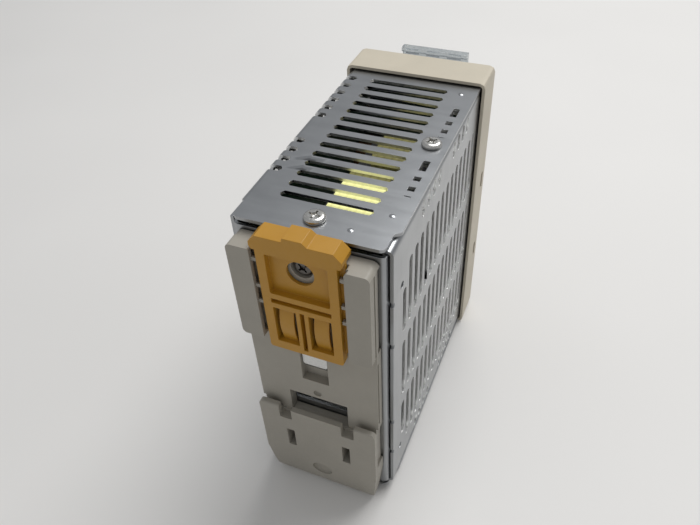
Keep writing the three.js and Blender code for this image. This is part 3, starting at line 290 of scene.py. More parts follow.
def mesh_from(name, build):
    """A closed mesh made by a function that fills a bmesh"""
    mesh = bpy.data.meshes.new(name)
    shape = bmesh.new()
    build(shape)
    bmesh.ops.remove_doubles(shape, verts=shape.verts, dist=0.001 * MM)
    bmesh.ops.recalc_face_normals(shape, faces=shape.faces)
    shape.to_mesh(mesh)
    shape.free()
    return mesh


PANEL_AREA = 0.002 * MM * MM
SQUARE_TO_AXIS = 0.9999
WELD_DISTANCE = 0.002 * MM
FLAT_WITHIN = math.radians(1.0)
PLAIN_CORNERS = 8
AXES = {"X": (1, 2, 0), "Y": (0, 2, 1), "Z": (0, 1, 2)}


def stand(point, level, axis):
    """A point of a flat outline, raised to a level along an axis"""
    first, second, along = AXES[axis]
    place = [0.0, 0.0, 0.0]
    place[first], place[second], place[along] = point[0], point[1], level
    return Vector(place)


def prism(outline, axis, low, high):
    """A builder for an outline carried straight along an axis"""
    def build(shape):
        ends = [[shape.verts.new(stand(point, level, axis)) for point in outline] for level in (low, high)]
        shape.faces.new(ends[0])
        shape.faces.new(list(reversed(ends[1])))
        for index in range(len(outline)):
            after = (index + 1) % len(outline)
            shape.faces.new((ends[0][index], ends[0][after], ends[1][after], ends[1][index]))
    return build


def block(low, high):
    outline = [(low[0], low[1]), (high[0], low[1]), (high[0], high[1]), (low[0], high[1])]
    return prism(outline, "Z", low[2], high[2])


def arc(centre, radius, start, end, steps=6):
    """Points of an arc, with its angles in quarter turns"""
    angles = [math.pi / 2 * (start + (end - start) * step / steps) for step in range(steps + 1)]
    return [(centre[0] + radius * math.cos(angle), centre[1] + radius * math.sin(angle)) for angle in angles]


def rounded(left, right, bottom, top, radii, steps=6):
    """A rectangle with rounded corners, from bottom left round; a radius of 0 leaves the corner square"""
    if not isinstance(radii, (tuple, list)):
        radii = (radii,) * 4
    corners = ((left, bottom, 1, 1, 2), (right, bottom, -1, 1, 3), (right, top, -1, -1, 0),
               (left, top, 1, -1, 1))
    points = []
    for (x, y, to_right, to_top, start), radius in zip(corners, radii):
        if radius:
            points += arc((x + to_right * radius, y + to_top * radius), radius, start, start + 1, steps)
        else:
            points.append((x, y))
    return points


def circle(x, y, radius, steps=32):
    return arc((x, y), radius, 0, 4, steps)[:-1]


def turned(profile, centre, axis, steps=40):
    """A builder for a turned solid; the profile is (radius, level) pairs from axis to axis"""
    def build(shape):
        rings = []
        for radius, level in profile:
            if radius == 0.0:
                rings.append([shape.verts.new(stand((centre[0], centre[1]), level, axis))])
                continue
            points = circle(centre[0], centre[1], radius, steps)
            rings.append([shape.verts.new(stand(point, level, axis)) for point in points])
        for lower, upper in zip(rings, rings[1:]):
            for index in range(steps):
                after = (index + 1) % steps
                quad = [lower[index % len(lower)], lower[after % len(lower)], upper[after % len(upper)],
                        upper[index % len(upper)]]
                corners = [vert for place, vert in enumerate(quad) if vert not in quad[:place]]
                if len(corners) > 2:
                    shape.faces.new(corners)
    return build


def baked(piece):
    """The piece with its modifiers turned into a plain mesh"""
    graph = bpy.context.evaluated_depsgraph_get()
    mesh = bpy.data.meshes.new_from_object(piece.evaluated_get(graph), preserve_all_data_layers=True,
                                           depsgraph=graph)
    piece.modifiers.clear()
    piece.data = mesh
    return piece


def solid(name, build, *materials):
    """A piece made by one builder"""
    return body_object(name, mesh_from(name, build), *materials)


def combine(piece, builders, operation):
    """Adds or cuts simple solids, each a builder, one after another"""
    for build in builders:
        tool = solid("tool", build)
        change = piece.modifiers.new("Combine", "BOOLEAN")
        change.operation = operation
        change.solver = "EXACT"
        change.object = tool
        baked(piece)
        bpy.data.objects.remove(tool)
    return piece


def carve(piece, *builders):
    return combine(piece, builders, "DIFFERENCE")


def weld(piece, *builders):
    return combine(piece, builders, "UNION")


def is_panel(face):
    """True of a face square to an axis, unless it is a mere speck; such a face is shaded flat"""
    return face.area > PANEL_AREA and max(abs(part) for part in face.normal) > SQUARE_TO_AXIS


def soften(piece, width, steps=2, angle=35.0, flatten=False, panels=False, edge_slot=-1):
    """Rounds the edges and shades the piece smooth, or with panels set, its flat faces flat.

    The rounding takes the material in edge_slot; many-cornered panels keep the first material."""
    shape = bmesh.new()
    shape.from_mesh(piece.data)
    bmesh.ops.remove_doubles(shape, verts=shape.verts, dist=WELD_DISTANCE)
    if flatten:
        bmesh.ops.dissolve_limit(shape, angle_limit=FLAT_WITHIN, verts=shape.verts, edges=shape.edges)
    shape.to_mesh(piece.data)
    shape.free()
    if width:
        bevel = piece.modifiers.new("Edges", "BEVEL")
        bevel.width = width
        bevel.segments = steps
        bevel.limit_method = "ANGLE"
        bevel.angle_limit = math.radians(angle)
        bevel.use_clamp_overlap = True
        bevel.miter_outer = "MITER_ARC"
        bevel.material = edge_slot
        baked(piece)
    for face in piece.data.polygons:
        flat = panels and is_panel(face)
        face.use_smooth = not flat
        if flat and len(face.vertices) > PLAIN_CORNERS:
            face.material_index = 0
    piece.data.set_sharp_from_angle(angle=math.radians(angle))
    weigh = piece.modifiers.new("Normals", "WEIGHTED_NORMAL")
    weigh.keep_sharp = True
    weigh.weight = 100
    return baked(piece)


def finish_piece(piece, slot, *nodes, body=ROOT):
    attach(piece, body)
    if nodes:
        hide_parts(*nodes)
    return piece


def refined(node, slot, material, width, steps=2, body=ROOT, panels=False):
    """A merged copy of a node with rounded edges"""
    piece = body_object(f"{node}_shell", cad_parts[node].data.copy())
    piece.data.materials.clear()
    piece.data.materials.append(material)
    piece.data.polygons.foreach_set("material_index", [0] * len(piece.data.polygons))
    soften(piece, width, steps, flatten=True, panels=panels)
    return finish_piece(piece, slot, node, body=body)


# ---- geometry node trees

SOCKETS = {"geometry": "NodeSocketGeometry", "float": "NodeSocketFloat", "int": "NodeSocketInt",
           "vector": "NodeSocketVector", "material": "NodeSocketMaterial", "object": "NodeSocketObject"}
CORNER_POINTS = 5
TWIST_SEED = 7


class Tree:
    """A geometry node tree under construction, with named inputs"""

    def __init__(self, name, **inputs):
        self.group = bpy.data.node_groups.new(name, "GeometryNodeTree")
        interface = self.group.interface
        for title, kind in {"Geometry": "geometry", **inputs}.items():
            interface.new_socket(title.replace("_", " "), in_out="INPUT", socket_type=SOCKETS[kind])
        interface.new_socket("Geometry", in_out="OUTPUT", socket_type=SOCKETS["geometry"])
        self.source = self.group.nodes.new("NodeGroupInput")
        self.result = self.group.nodes.new("NodeGroupOutput")

    def given(self, title):
        return self.source.outputs[title]

    def node(self, kind, inputs=(), **attributes):
        return add_node(self.group, kind, inputs, **attributes)

    def out(self, kind, inputs=(), **attributes):
        """The first output of a new node"""
        return self.node(kind, inputs, **attributes).outputs[0]

    def maths(self, operation, *values):
        node = self.node("ShaderNodeMath", operation=operation)
        for socket, value in zip(node.inputs, values):
            if isinstance(value, bpy.types.NodeSocket):
                self.group.links.new(value, socket)
            else:
                socket.default_value = value
        return node.outputs[0]

    def vector(self, x=0.0, y=0.0, z=0.0):
        return self.out("ShaderNodeCombineXYZ", {"X": x, "Y": y, "Z": z})

    def join(self, *parts):
        node = self.group.nodes.new("GeometryNodeJoinGeometry")
        for part in parts:
            self.group.links.new(part, node.inputs[0])
        return node.outputs[0]

    def end(self, geometry, material=None):
        realized = self.out("GeometryNodeRealizeInstances", {"Geometry": geometry})
        if material is not None:
            realized = self.out("GeometryNodeSetMaterial", {"Geometry": realized, "Material": material})
        self.group.links.new(realized, self.result.inputs[0])
        return self.group


def grow(piece, tree, **values):
    """Runs a tree on a piece, with its inputs set by their identifiers, and keeps the plain mesh"""
    modifier = piece.modifiers.new("Grow", "NODES")
    modifier.node_group = tree
    identifiers = {item.name: item.identifier for item in tree.interface.items_tree if item.in_out == "INPUT"}
    for title, value in values.items():
        modifier[identifiers[title.replace("_", " ")]] = value
    return baked(piece)


def solid_slot(tree, length, width, depth, corner):
    """A closed prism with rounded corners, lying along X, centred on the origin"""
    outline = tree.out("GeometryNodeCurvePrimitiveQuadrilateral", {"Width": length, "Height": width})
    eased = tree.out("GeometryNodeFilletCurve", {"Curve": outline, "Count": CORNER_POINTS, "Radius": corner,
                                                 "Limit Radius": True}, mode="POLY")
    plate = tree.out("GeometryNodeFillCurve", {"Curve": eased}, mode="NGONS")
    raised = tree.out("GeometryNodeExtrudeMesh", {"Mesh": plate, "Offset": tree.vector(z=1.0),
                                                  "Offset Scale": depth, "Individual": False})
    under = tree.out("GeometryNodeFlipFaces", {"Mesh": plate})
    closed = tree.out("GeometryNodeMergeByDistance", {"Geometry": tree.join(raised, under)})
    sunk = tree.vector(z=tree.maths("MULTIPLY", depth, -0.5))
    return tree.out("GeometryNodeTransform", {"Geometry": closed, "Translation": sunk})


def line_of_points(tree, count, pitch, direction):
    """Points at an even pitch, centred on the origin, as a mesh"""
    reach = tree.maths("MULTIPLY", tree.maths("SUBTRACT", count, 1.0), pitch)
    start = tree.vector(**{direction: tree.maths("MULTIPLY", reach, -0.5)})
    return tree.out("GeometryNodeMeshLine", {"Count": count, "Start Location": start,
                                             "Offset": tree.vector(**{direction: pitch})}, mode="OFFSET")


def punch_tree():
    """Cuts a field of slots through a sheet: rows along X and columns along Y, then turned and placed"""
    tree = Tree("Punch Slots", Slot_Length="float", Slot_Width="float", Corner="float", Depth="float",
                Rows="int", Row_Pitch="float", Columns="int", Column_Pitch="float", Centre="vector",
                Turn="vector", Cut_Edge="material")
    sizes = (tree.given(title) for title in ("Slot Length", "Slot Width", "Depth", "Corner"))
    slot = solid_slot(tree, *sizes)
    rows = line_of_points(tree, tree.given("Rows"), tree.given("Row Pitch"), "x")
    columns = line_of_points(tree, tree.given("Columns"), tree.given("Column Pitch"), "y")
    grid = tree.out("GeometryNodeInstanceOnPoints", {"Points": rows, "Instance": columns})
    points = tree.out("GeometryNodeRealizeInstances", {"Geometry": grid})
    field = tree.out("GeometryNodeInstanceOnPoints", {"Points": points, "Instance": slot})
    placed = tree.out("GeometryNodeTransform", {"Geometry": field, "Translation": tree.given("Centre"),
                                                "Rotation": tree.given("Turn")})
    tools = tree.out("GeometryNodeRealizeInstances", {"Geometry": placed})
    tools = tree.out("GeometryNodeSetMaterial", {"Geometry": tools, "Material": tree.given("Cut Edge")})
    cut = tree.out("GeometryNodeMeshBoolean", {"Mesh 1": tree.given("Geometry"), "Mesh 2": tools},
                   operation="DIFFERENCE", solver="EXACT")
    return tree.end(cut)


def fastener_tree():
    """Puts one fastener on every point of a mesh, turned to the direction asked for"""
    tree = Tree("Place Fasteners", Fastener="object", Turn="vector", Twist="float", Metal="material")
    head = tree.node("GeometryNodeObjectInfo", {"Object": tree.given("Fastener")}).outputs["Geometry"]
    spin = tree.node("FunctionNodeRandomValue", {"Max": tree.given("Twist"), "Seed": TWIST_SEED},
                     data_type="FLOAT").outputs[1]
    placed = tree.out("GeometryNodeInstanceOnPoints", {"Points": tree.given("Geometry"), "Instance": head,
                                                       "Rotation": tree.given("Turn")})
    heads = tree.out("GeometryNodeRotateInstances", {"Instances": placed, "Rotation": tree.vector(z=spin),
                                                     "Local Space": True})
    return tree.end(heads, tree.given("Metal"))


# ---- case sheets

BEND = 1.8 * MM
CORNER_IN, CORNER_FROM, CORNER_RUN, CORNER_DROP = mm(1.7, 8.8, 2.3, 0.9)
CORNER_STEPS = 10
FIRST_TOP_SLOT, FIRST_SIDE_SLOT = mm(6.1, 5.0)
TOP_SLOTS = 14
SIDE_COLUMNS = 15
SIDE_ROWS = 3
SIDE_ROW_BASE, SIDE_ROW_PITCH, SIDE_ROW_LENGTH = mm(13.0, 30.333, 25.73)
SHORT_SLOT, LEFT_SLOT_REACH = mm(17.6, 4.9)
BEND_SLOT_LENGTH, BEND_SLOT_INSET = mm(5.9, 2.5)
BEND_GROUPS = ((2, 4), (8, 4))
LEFT_GROUPS = ((0, 6), (8, 4))
FLANGE_STARTS = mm(18.1, 49.4)
FLANGE_HOLES_IN, FLANGE_CORNER = mm(3.75, 0.3)
FLANGE_HOLE, LONG_HOLE, SHORT_HOLE = mm(2.3, 5.4, 1.1)
SQUARE_HOLES_AT, SQUARE_HOLE_PITCH, SHORT_HOLE_AT = mm(9.2, 5.0, 15.2)
PRESSED_MARKS = (mm(18.3, 6.0), mm(18.7, 74.0), mm(10.6, 83.0))
CLEARANCE_HOLE, COVER_HOLE, EDGE_NICK = mm(1.6, 1.25, 0.9)
COVER_HOLES_IN = 7.0 * MM
SIDE_HOLE_LEVELS = mm(16.0, 94.5)
EDGE_NICK_LEVELS = mm(22.0, 39.0, 76.0, 93.0)
SIDE_UP = (0.0, -math.pi / 2, 0.0)


def rows_middle(first, pitch, start, count):
    """Y of the middle of a run of slots, counted from the bezel's back edge"""
    return BEZEL_BACK - first - pitch * (start + (count - 1) / 2)


def punch(piece, tree, edge, length, width, centre, rows=1, row_pitch=1.0, columns=1, column_pitch=1.0,
          turn=(0.0, 0.0, 0.0), depth=2.6 * MM, corner=None):
    """Cuts a field of slots, with round ends unless a corner radius is given"""
    corner = 0.49 * min(length, width) if corner is None else corner
    return grow(piece, tree, Slot_Length=length, Slot_Width=width, Corner=corner, Depth=depth, Rows=rows,
                Row_Pitch=row_pitch, Columns=columns, Column_Pitch=column_pitch, Centre=centre, Turn=turn,
                Cut_Edge=edge)


def punch_side(cut, x, case):
    """The three rows of upright slots, the short last column and the slots beside the bends"""
    upright = partial(cut, width=case.side_width, turn=SIDE_UP, column_pitch=case.side_pitch)
    place = partial(rows_middle, FIRST_SIDE_SLOT, case.side_pitch)
    middle_z = SIDE_ROW_BASE + SIDE_ROW_PITCH + SIDE_ROW_LENGTH / 2
    upright(SIDE_ROW_LENGTH, centre=(x, place(0, SIDE_COLUMNS - 1), middle_z), rows=SIDE_ROWS,
            row_pitch=SIDE_ROW_PITCH, columns=SIDE_COLUMNS - 1)
    last_y = place(SIDE_COLUMNS - 1, 1)
    low = SIDE_ROW_BASE + SIDE_ROW_LENGTH - SHORT_SLOT / 2
    high = SIDE_ROW_BASE + 2 * SIDE_ROW_PITCH + SHORT_SLOT / 2
    upright(SHORT_SLOT, centre=(x, last_y, (low + high) / 2), rows=2, row_pitch=high - low)
    upright(SIDE_ROW_LENGTH, centre=(x, last_y, middle_z))
    spread = CASE_HIGH.z - CASE_LOW.z - 2 * (BEND_SLOT_INSET + BEND_SLOT_LENGTH / 2)
    for start, count in BEND_GROUPS:
        upright(BEND_SLOT_LENGTH, centre=(x, place(start, count), (CASE_LOW.z + CASE_HIGH.z) / 2), rows=2,
                row_pitch=spread, columns=count)


def flange_holes(cut, level):
    """Small openings over the cover's flange: a long one, two square ones and a short one in each group"""
    small = partial(cut, FLANGE_HOLE, corner=FLANGE_CORNER)
    x = CASE_HIGH.x - FLANGE_HOLES_IN
    for start in FLANGE_STARTS:
        first = BEZEL_BACK - start
        small(LONG_HOLE, (x, first, level))
        small(FLANGE_HOLE, (x, first - SQUARE_HOLES_AT, level), columns=2, column_pitch=SQUARE_HOLE_PITCH)
        small(SHORT_HOLE, (x, first - SHORT_HOLE_AT, level))


def channel(spine, reach, low, high):
    """The cross-section of a sheet folded at two corners: an upright with a flange at each end"""
    side = 1 if spine > reach else -1
    lower, upper = ((spine - side * BEND, level) for level in (low + BEND, high - BEND))
    outside = [(reach, low)] + arc(lower, BEND, 3, 3 + side) + arc(upper, BEND, 1 - side, 1) + [(reach, high)]
    inside = arc(upper, BEND - SHEET, 1, 1 - side) + arc(lower, BEND - SHEET, 3 + side, 3)
    return outside + [(reach, high - SHEET)] + inside + [(reach, low + SHEET)]


def corner_notch(side):
    """What is cut from a panel's rear corner, which steps in on an S-shaped edge"""
    half, step = CASE_HIGH.x, CASE_LOW.y + CORNER_FROM
    shares = [index / CORNER_STEPS for index in range(CORNER_STEPS + 1)]
    curve = [(half - CORNER_IN * (1 - math.cos(math.pi * share)) / 2, step - CORNER_RUN * share)
             for share in shares]
    inner, past = half - CORNER_IN - BEND, CASE_LOW.y - OVERRUN
    outline = [(half + OVERRUN, step), *curve, *arc((inner, CASE_LOW.y + BEND), BEND, 4, 3), (inner, past),
               (half + OVERRUN, past)]
    return [(side * x, y) for x, y in outline]


def screw_clearances():
    """Round holes for the case screws: one over the side flange and one over the rear tab, above and below"""
    tools = []
    for name in ("side", "back"):
        low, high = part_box(f"case_screw_top_{name}")
        middle = (low + high) / 2
        for level in (CASE_LOW.z, CASE_HIGH.z):
            hole = circle(middle.x, middle.y, CLEARANCE_HOLE, 20)
            tools.append(prism(hole, "Z", level - 3 * OVERRUN, level + 3 * OVERRUN))
    return tools


def pressed_mark(x, behind, level):
    """A small round pip pressed up from the sheet"""
    radii = mm(0.0, 0.95, 0.9, 0.6, 0.0)
    rises = mm(-0.4, -0.4, 0.0, 0.22, 0.3)
    profile = [(radius, level + rise) for radius, rise in zip(radii, rises)]
    return turned(profile, (x, BEZEL_BACK - behind), "Z", 20)


def case_wrap(case, zinc, edge, tree):
    half, level = CASE_HIGH.x, CASE_HIGH.z
    fold = prism(channel(-half, half, CASE_LOW.z, level), "Y", CASE_LOW.y, CASE_HIGH.y)
    piece = solid("case_wrap_sheet", fold, zinc, edge)
    drop = SHEET + CORNER_DROP
    levels = ((CASE_LOW.z - OVERRUN, CASE_LOW.z + drop), (level - drop, level + OVERRUN))
    notches = [prism(corner_notch(side), "Z", *span) for side in (-1, 1) for span in levels]
    trim = block((-half - OVERRUN, CASE_LOW.y - OVERRUN, levels[0][1] - SHEET),
                 (-half + BEND, COVER_LOW.y, levels[1][0] + SHEET))
    carve(piece, *notches, trim)
    cut = partial(punch, piece, tree, edge)
    place = partial(rows_middle, FIRST_TOP_SLOT, case.slot_pitch)
    across = partial(cut, width=case.slot_width, column_pitch=case.slot_pitch)
    for height in (CASE_LOW.z, level):
        across(2 * case.slot_half, centre=(0.0, place(0, TOP_SLOTS), height), columns=TOP_SLOTS)
        for start, count in LEFT_GROUPS:
            across(2 * LEFT_SLOT_REACH, centre=(-half, place(start, count), height), columns=count,
                   depth=2 * BEND)
        flange_holes(cut, height)
    punch_side(cut, -half, case)
    carve(piece, *screw_clearances())
    weld(piece, *(pressed_mark(x, behind, level) for x, behind in PRESSED_MARKS))
    soften(piece, case.edge, 2, flatten=True, panels=True, edge_slot=1)
    return finish_piece(piece, "zinc_sheet", "case_wrap")


def right_cover(case, zinc, edge, tree):
    half, low, high = COVER_HIGH.x, COVER_LOW.z, COVER_HIGH.z
    fold = prism(channel(half, COVER_LOW.x, low, high), "Y", COVER_LOW.y, COVER_HIGH.y)
    piece = solid("right_cover_sheet", fold, zinc, edge)
    cut = partial(punch, piece, tree, edge)
    punch_side(cut, half, case)
    for level in (low, high):
        flange_holes(cut, level)
    through = ("X", half - BEND, half + OVERRUN)
    holes = [circle(COVER_LOW.y + COVER_HOLES_IN, z, COVER_HOLE, 20) for z in SIDE_HOLE_LEVELS]
    holes += [circle(COVER_LOW.y, z, EDGE_NICK, 16) for z in EDGE_NICK_LEVELS]
    carve(piece, *screw_clearances(), *(prism(hole, *through) for hole in holes))
    soften(piece, case.edge, 2, flatten=True, panels=True, edge_slot=1)
    return finish_piece(piece, "zinc_sheet", "right_cover")


class CaseOperator(bpy.types.Operator):
    """Folds and slots the wrap and the right cover, and rounds the edges of the back wall"""
    bl_idname = "psu.case"
    bl_label = "Case Sheets"

    def execute(self, context):
        case = context.scene.psu_case
        zinc = plated("Zinc Sheet", case.zinc)
        # the cut and rounded edges take this near-white metal: partly bare cut steel, partly painted
        # highlight
        edge = bright_metal("Cut Edge", case.cut, 0.3)
        tree = punch_tree()
        case_wrap(case, zinc, edge, tree)
        right_cover(case, zinc, edge, tree)
        refined("back_wall", "zinc_sheet", zinc, case.edge, panels=True)
        return {"FINISHED"}


# ---- rail base

BASE_FRONT, REAR = BASE_HIGH.y, BASE_LOW.y
BASE_HALF, BASE_TOP = BASE_HIGH.x, BASE_HIGH.z
PLATE_FACE = BASE_FRONT - 3.4 * MM
TAPER_TOP, BLOCK_INNER, LIP_INNER = mm(16.0, 13.4, 11.9)
BLOCK_BOTTOM = SLIDER_LOW.z + 2.0 * MM
BLOCK_RIBS = (mm(14.2, 15.4), mm(20.2, 21.4), mm(29.8, 31.0))
BLOCK_POCKETS = (mm(77.5, 88.6), mm(90.4, 94.6), mm(96.2, 104.6), mm(106.2, 108.8))
WING, STEP = mm(1.0, 0.6)
LIP_BACK = PLATE_FACE - WING - STEP
LIP_RADIUS, LIP_WALL, HOOK_CORNER = mm(0.7, 1.8, 1.6)
HOOK_TOP, GROOVE_FLOOR, SCREW_Z = mm(42.0, 37.4, 104.0)
WINDOW_HALF, LEDGE = mm(4.45, 3.4)
WINDOW = mm(56.3, 70.3)
OPENING_HALF, LIP_GAP_HALF = mm(10.0, 8.8)
OPENING = mm(37.5, 48.0)
NOTCH_MIDDLE, NOTCH_HALF, NOTCH_FLOOR = mm(11.0, 2.2, 36.3)
HOLE_MIDDLE, HOLE_HALF = mm(10.0, 1.4)
HOOK_HOLE = mm(21.2, 30.2)
SEAT_RADIUS, SEAT_DEPTH, SCREW_HOLE = mm(3.2, 2.2, 1.7)
SIDE_RECESS, SIDE_RECESS_BACK = mm(0.8, 2.0)
SIDE_RECESS_LEVELS = mm(21.0, 41.0)


def side_block(side, near, far, back, front, levels):
    """A block to one side of the middle, from near to far"""
    left, right = sorted((side * near, side * far))
    return block((left, back, levels[0]), (right, front, levels[1]))


def middle_block(half, back, front, levels):
    return block((-half, back, levels[0]), (half, front, levels[1]))


def side_view():
    """The hook seen from the side: its lower end slopes back towards the case"""
    lip = arc((REAR + LIP_RADIUS, HOOK_TOP - LIP_RADIUS), LIP_RADIUS, 1, 2, 4)
    slope = [(REAR, TAPER_TOP), (REAR + 1.0 * MM, 7.0 * MM), (REAR + 1.8 * MM, 2.0 * MM),
             (REAR + 4.0 * MM, 0.0)]
    return [(BASE_FRONT, HOOK_TOP), *lip, *slope, (BASE_FRONT, 0.0)]


def front_view():
    """The hook seen from the rail: it narrows towards its foot"""
    corner = arc((BASE_HALF - HOOK_CORNER, HOOK_TOP - HOOK_CORNER), HOOK_CORNER, 0, 1, 4)
    foot = [(BASE_HALF - 3.2 * MM, 0.0), (BASE_HALF - 1.6 * MM, 2.0 * MM), (BASE_HALF, TAPER_TOP)]
    right = foot + corner
    return right + [(-x, z) for x, z in reversed(right)]


def plate_outline():
    return rounded(-BASE_HALF, BASE_HALF, TAPER_TOP, BASE_TOP, (0, 0, *mm(2.0, 2.0)))


def guide_block(side):
    """A block beside the slider, rounder on its outside than beside the slider"""
    inner, outer = mm(0.6, 1.5)
    left, right = sorted((side * BLOCK_INNER, side * BASE_HALF))
    radii = (inner, outer, outer, inner) if side > 0 else (outer, inner, inner, outer)
    outline = rounded(left, right, BLOCK_BOTTOM, BASE_TOP, radii, 5)
    return prism(outline, "Y", REAR, PLATE_FACE + OVERRUN)


def dimple(radius, face, depth, slope=0.3 * MM):
    """The profile of a round, flat-bottomed hollow pressed into a face"""
    return [(0.0, face - OVERRUN), (radius, face - OVERRUN), (radius, face + depth - slope),
            (radius - slope, face + depth), (0.0, face + depth)]


def groove():
    """The groove behind the hook's lip, which takes the rail's lower edge"""
    return middle_block(BASE_HALF + OVERRUN, REAR + LIP_WALL, PLATE_FACE, (GROOVE_FLOOR, HOOK_TOP + OVERRUN))


def hook_tools():
    """What else is cut from the hook: opening, lip notches, wire holes, side recesses and the round dimple"""
    inside, past, front = REAR + LIP_WALL, REAR - OVERRUN, BASE_FRONT + OVERRUN
    tools = [middle_block(OPENING_HALF, PLATE_FACE - OVERRUN, front, OPENING),
             turned(dimple(3.7 * MM, REAR, 1.9 * MM), (0.0, 10.6 * MM), "Y", 40)]
    for side in (-1, 1):
        middle = side * NOTCH_MIDDLE
        notch = rounded(middle - NOTCH_HALF, middle + NOTCH_HALF, NOTCH_FLOOR, HOOK_TOP + OVERRUN,
                        (*mm(0.5, 0.5), 0, 0), 3)
        tools += [prism(notch, "Y", past, inside + OVERRUN),
                  side_block(side, HOLE_MIDDLE - HOLE_HALF, HOLE_MIDDLE + HOLE_HALF, past, front, HOOK_HOLE),
                  side_block(side, BASE_HALF - SIDE_RECESS, BASE_HALF + OVERRUN, REAR + SIDE_RECESS_BACK,
                             front, SIDE_RECESS_LEVELS)]
    tools.append(middle_block(LIP_GAP_HALF, past, inside + STEP, (HOOK_TOP - LIP_RADIUS, HOOK_TOP + OVERRUN)))
    return tools


def plate_tools():
    """What is cut from the plate: window, rail dimple, screw seat, and the long steps down both sides"""
    front, upper = BASE_FRONT + OVERRUN, (76.8 * MM, BASE_TOP - 1.6 * MM)
    tools = [middle_block(WINDOW_HALF, PLATE_FACE - OVERRUN, front, WINDOW),
             turned(dimple(1.4 * MM, PLATE_FACE, 0.9 * MM), (0.0, 50.4 * MM), "Y", 24),
             prism(circle(0.0, SCREW_Z, SEAT_RADIUS), "Y", REAR - OVERRUN, PLATE_FACE + SEAT_DEPTH),
             prism(circle(0.0, SCREW_Z, SCREW_HOLE), "Y", REAR, front)]
    steps = ((PLATE_FACE + 0.4 * MM, PLATE_FACE + 1.3 * MM, mm(43.5, 72.5)),
             (REAR + 2.6 * MM, REAR + 3.4 * MM, upper),
             (PLATE_FACE + 1.1 * MM, front, upper))
    return tools + [side_block(side, BASE_HALF - STEP, BASE_HALF + OVERRUN, *step)
                    for side in (-1, 1) for step in steps]


def block_tools():
    """The pockets in the blocks' inner walls, and the slanting cut at the top of the right block"""
    pockets = [side_block(side, BLOCK_INNER - OVERRUN, BLOCK_INNER + 1.2 * MM, REAR + 1.4 * MM,
                          PLATE_FACE - 0.4 * MM, levels) for side in (-1, 1) for levels in BLOCK_POCKETS]
    inner, above = BLOCK_INNER - 2 * OVERRUN, BASE_TOP + OVERRUN
    wedge = [(inner, BASE_TOP - 3.6 * MM), (BLOCK_INNER + 1.6 * MM, above), (inner, above)]
    return pockets + [prism(wedge, "Y", REAR - OVERRUN, REAR + 1.6 * MM)]


def rear_base(base, grey):
    piece = solid("rear_base_moulding", prism(side_view(), "X", -BASE_HALF, BASE_HALF), grey)
    combine(piece, [prism(front_view(), "Y", REAR - OVERRUN, BASE_FRONT + OVERRUN)], "INTERSECT")
    carve(piece, groove())
    weld(piece, prism(plate_outline(), "Y", PLATE_FACE, BASE_FRONT), guide_block(-1), guide_block(1))
    for side in (-1, 1):
        for low, high in BLOCK_RIBS:
            weld(piece, side_block(side, LIP_INNER, BLOCK_INNER + 0.4 * MM, REAR + 0.8 * MM, LIP_BACK,
                                   (BLOCK_BOTTOM + low, BLOCK_BOTTOM + high)))
    carve(piece, *hook_tools(), *plate_tools(), *block_tools())
    weld(piece, middle_block(WINDOW_HALF + STEP, BASE_FRONT - 0.6 * MM, BASE_FRONT,
                             (WINDOW[0] - STEP, WINDOW[0] + LEDGE)))
    soften(piece, base.edge, 3, 30.0, panels=True)
    return finish_piece(piece, "grey_plastic", "rear_base")


# ---- rail slider

SLIDER_FACE = SLIDER_LOW.y
SLIDER_DEEP = SLIDER_FACE + 3.0 * MM
SLIDER_FOOT = SLIDER_LOW.z - 0.7 * MM
SLIDER_HALF = 11.6 * MM
CAP_HALF = SLIDER_HIGH.x - 0.9 * MM
CAP_TOP = SLIDER_HIGH.z - 0.8 * MM
CAP_FOOT = BASE_TOP + 0.3 * MM
CAP_DEPTH = 6.0 * MM
CROWN = CAP_TOP - 1.3 * MM
SLIDER_WINDOW = mm(1.9, 8.8)
POCKET_HALF, POCKET_CORNER, POCKET_DEPTH = mm(8.9, 0.5, 2.0)
CROSS_HALF, CROSS_DEPTH, RIB_SLOT_HALF, RIB_SLOT_DEPTH = mm(9.0, 2.2, 0.65, 2.4)
SCREW_WINDOW = 4.0 * MM
LEAF_HALF, LEAF_BOW, LEAF_FACE, LEAF_REAR = mm(2.25, 1.3, 1.7, 2.4)
LEAF_STEPS = 12


def above_foot(*lengths):
    """Levels counted up from the slider's foot, in millimetres"""
    return tuple(SLIDER_FOOT + length for length in mm(*lengths))


def cap_outline():
    """The thumb grip seen from the rail: sloping shoulders and a raised middle"""
    shoulder = [(CAP_HALF - 0.6 * MM, CAP_FOOT), (CAP_HALF, CAP_FOOT + 1.0 * MM),
                (CAP_HALF, CROWN - 2.4 * MM), (CAP_HALF - 2.2 * MM, CROWN)]
    middle = [(3.9 * MM, CROWN), (2.5 * MM, CAP_TOP), (-2.9 * MM, CAP_TOP), (-3.3 * MM, CROWN)]
    return shoulder + middle + [(-x, z) for x, z in reversed(shoulder)]


def leaf_strip(side):
    """A bowed strip that springs across one of the slider's windows"""
    middle = side * (SLIDER_WINDOW[0] + SLIDER_WINDOW[1]) / 2
    low, high = above_foot(2.7, 17.5)
    shares = [index / LEAF_STEPS for index in range(LEAF_STEPS + 1)]
    outer, inner = ([(SLIDER_FACE + depth - LEAF_BOW * math.sin(math.pi * share), low + (high - low) * share)
                     for share in shares] for depth in (LEAF_FACE, LEAF_REAR))
    return prism(outer + inner[::-1], "X", middle - LEAF_HALF, middle + LEAF_HALF)


